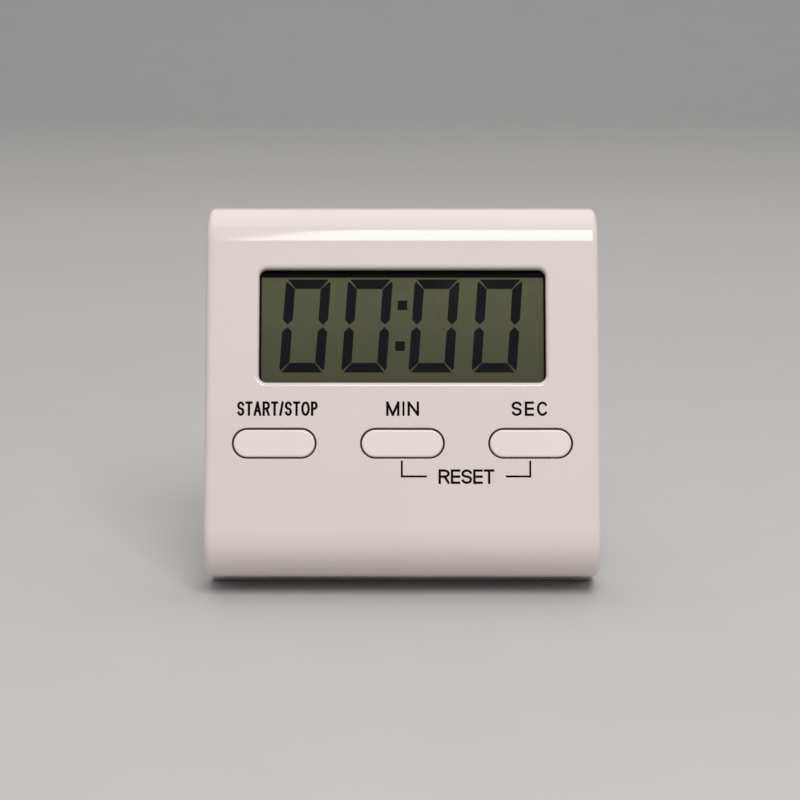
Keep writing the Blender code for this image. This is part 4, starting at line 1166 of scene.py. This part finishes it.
def build_floor(colour):
    """A floor that rolls up into a backdrop behind the timer."""
    bm = bmesh.new()
    bend, back, half, reach = 0.35, 0.75, 2.0, 1.6
    profile = [(-reach, 0.0)]
    for turn in arc(0, math.pi / 2, 24):
        profile.append((back + bend * math.sin(turn), bend * (1 - math.cos(turn))))
    profile.append((back + bend, reach))
    rows = [[bm.verts.new((x, y, z)) for x in (-half, half)] for y, z in profile]
    for first, second in zip(rows, rows[1:]):
        bm.faces.new((first[0], first[1], second[1], second[0]))
    floor = mesh_object("floor", bm)
    floor.matrix_world = Matrix.Identity(4)
    floor.data.shade_smooth()
    paper = new_finish("floor_paper", colour, 0.75, grain=0.004, tint=0.01, relief=0.00001)
    floor.data.materials.append(paper)


def aim(place, target):
    return (Vector(target) - Vector(place)).to_track_quat("-Z", "Y").to_euler()


def build_panel(name, corners, strength):
    """A glowing panel whose corners are given by X and by elevation as seen from the face."""
    centre = CASE @ Vector((0, FACE_Y, HEIGHT / 2))
    bm = bmesh.new()
    places = [Vector((x, -PANEL_REACH * math.cos(turn), PANEL_REACH * math.sin(turn))) for x, turn in corners]
    bm.faces.new([bm.verts.new(centre + place) for place in places])
    panel = mesh_object(name, bm)
    panel.matrix_world = Matrix.Identity(4)
    glow = bpy.data.materials.new(name + "_glow")
    glow.use_nodes = True
    shader = glow.node_tree.nodes["Principled BSDF"]
    shader.inputs["Base Color"].default_value = (0, 0, 0, 1)
    shader.inputs["Emission Color"].default_value = (1.0, 0.97, 0.94, 1)
    shader.inputs["Emission Strength"].default_value = strength
    panel.data.materials.append(glow)


def build_stage(settings):
    """Floor, lights and the camera."""
    build_floor(settings.floor_colour)
    low, high = KEY_PANEL_TURNS
    left, upper_left = KEY_PANEL_LEFTS
    corners = ((left, low), (KEY_PANEL_RIGHT, low), (KEY_PANEL_RIGHT, high), (upper_left, high))
    build_panel("key_panel", corners, settings.key_strength)
    low, high = TOP_PANEL_TURNS
    half = TOP_PANEL_HALF
    corners = ((-half, low), (half, low), (half, high), (-half, high))
    build_panel("top_panel", corners, settings.top_strength)
    world = bpy.data.worlds.new("surroundings")
    world.use_nodes = True
    background = world.node_tree.nodes["Background"]
    background.inputs["Color"].default_value = (0.96, 0.98, 1.0, 1)
    background.inputs["Strength"].default_value = settings.sky_strength
    scene = bpy.context.scene
    scene.world = world
    scene.view_settings.view_transform = "Standard"
    camera = bpy.data.cameras.new("camera")
    camera.lens = settings.focal
    camera.clip_start = 0.01
    viewer = bpy.data.objects.new("camera", camera)
    scene.collection.objects.link(viewer)
    face = CASE @ Vector((0, FACE_Y, HEIGHT / 2))
    sight = Vector((0, -math.cos(settings.elevation), math.sin(settings.elevation)))
    viewer.location = face + sight * settings.distance
    viewer.rotation_euler = aim(viewer.location, face + VIEW_SHIFT)
    scene.camera = viewer


# Operators and panel


def finished(build, *arguments):
    """Runs a builder and reports success to Blender."""
    build(*arguments)
    return {"FINISHED"}


class TimerFrontCase(bpy.types.Operator):
    """Build the glossy front case"""

    bl_idname = "lab_timer.front_case"
    bl_label = "Front case"

    def execute(self, context):
        return finished(build_front_case, context.scene.lab_timer_case)


class TimerRearCover(bpy.types.Operator):
    """Build the rear cover"""

    bl_idname = "lab_timer.rear_cover"
    bl_label = "Rear cover"

    def execute(self, context):
        return finished(build_rear_cover, context.scene.lab_timer_case)


class TimerKeys(bpy.types.Operator):
    """Build the three keys"""

    bl_idname = "lab_timer.keys"
    bl_label = "Keys"

    def execute(self, context):
        return finished(build_keys, context.scene.lab_timer_keys)


class TimerDomes(bpy.types.Operator):
    """Build the rubber domes under the keys"""

    bl_idname = "lab_timer.domes"
    bl_label = "Domes"

    def execute(self, context):
        return finished(build_domes, context.scene.lab_timer_keys)


class TimerDisplay(bpy.types.Operator):
    """Build the display and its digits"""

    bl_idname = "lab_timer.display"
    bl_label = "Display"

    def execute(self, context):
        return finished(build_display, context.scene.lab_timer_display)


class TimerPrinting(bpy.types.Operator):
    """Print the words and the bracket on the face"""

    bl_idname = "lab_timer.printing"
    bl_label = "Printing"

    def execute(self, context):
        return finished(build_printing, context.scene.lab_timer_print)


class TimerStand(bpy.types.Operator):
    """Build the fold-out stand"""

    bl_idname = "lab_timer.stand"
    bl_label = "Stand"

    def execute(self, context):
        return finished(build_stand, context.scene.lab_timer_case)


class TimerDoor(bpy.types.Operator):
    """Build the battery door"""

    bl_idname = "lab_timer.battery_door"
    bl_label = "Battery door"

    def execute(self, context):
        return finished(build_battery_door, context.scene.lab_timer_case)


class TimerBattery(bpy.types.Operator):
    """Build the battery"""

    bl_idname = "lab_timer.battery"
    bl_label = "Battery"

    def execute(self, context):
        return finished(build_battery)


class TimerMagnets(bpy.types.Operator):
    """Build the two magnets"""

    bl_idname = "lab_timer.magnets"
    bl_label = "Magnets"

    def execute(self, context):
        return finished(build_magnets)


class TimerScrews(bpy.types.Operator):
    """Build the four cover screws"""

    bl_idname = "lab_timer.screws"
    bl_label = "Screws"

    def execute(self, context):
        return finished(build_screws)


class TimerInnerParts(bpy.types.Operator):
    """Finish the parts inside the case"""

    bl_idname = "lab_timer.inner_parts"
    bl_label = "Inner parts"

    def execute(self, context):
        return finished(finish_inner_parts)


class TimerStage(bpy.types.Operator):
    """Build the floor, the lights and the camera"""

    bl_idname = "lab_timer.stage"
    bl_label = "Stage"

    def execute(self, context):
        return finished(build_stage, context.scene.lab_timer_stage)


STEPS = (
    TimerFrontCase,
    TimerRearCover,
    TimerKeys,
    TimerDomes,
    TimerDisplay,
    TimerPrinting,
    TimerStand,
    TimerDoor,
    TimerBattery,
    TimerMagnets,
    TimerScrews,
    TimerInnerParts,
    TimerStage,
)
SETTINGS = {
    "lab_timer_case": CaseSettings,
    "lab_timer_keys": KeySettings,
    "lab_timer_display": DisplaySettings,
    "lab_timer_print": PrintSettings,
    "lab_timer_stage": StageSettings,
}


class TimerPanel(bpy.types.Panel):
    """The timer's pieces and settings in the 3D view's sidebar"""

    bl_idname = "VIEW3D_PT_lab_timer"
    bl_label = "Lab Timer"
    bl_space_type = "VIEW_3D"
    bl_region_type = "UI"
    bl_category = "Lab Timer"

    def draw(self, context):
        for step in STEPS:
            self.layout.operator(step.bl_idname)
        for name, group in SETTINGS.items():
            box = self.layout.box()
            for key in group.__annotations__:
                box.prop(getattr(context.scene, name), key)


def register():
    for group in (*SETTINGS.values(), *STEPS, TimerPanel):
        bpy.utils.register_class(group)
    for name, group in SETTINGS.items():
        setattr(bpy.types.Scene, name, PointerProperty(type=group))


def unregister():
    for name in SETTINGS:
        delattr(bpy.types.Scene, name)
    for group in (TimerPanel, *reversed(STEPS), *SETTINGS.values()):
        bpy.utils.unregister_class(group)


def main():
    register()
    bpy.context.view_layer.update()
    for step in STEPS:
        area, name = step.bl_idname.split(".")
        getattr(getattr(bpy.ops, area), name)()


if __name__ == "__main__":
    main()
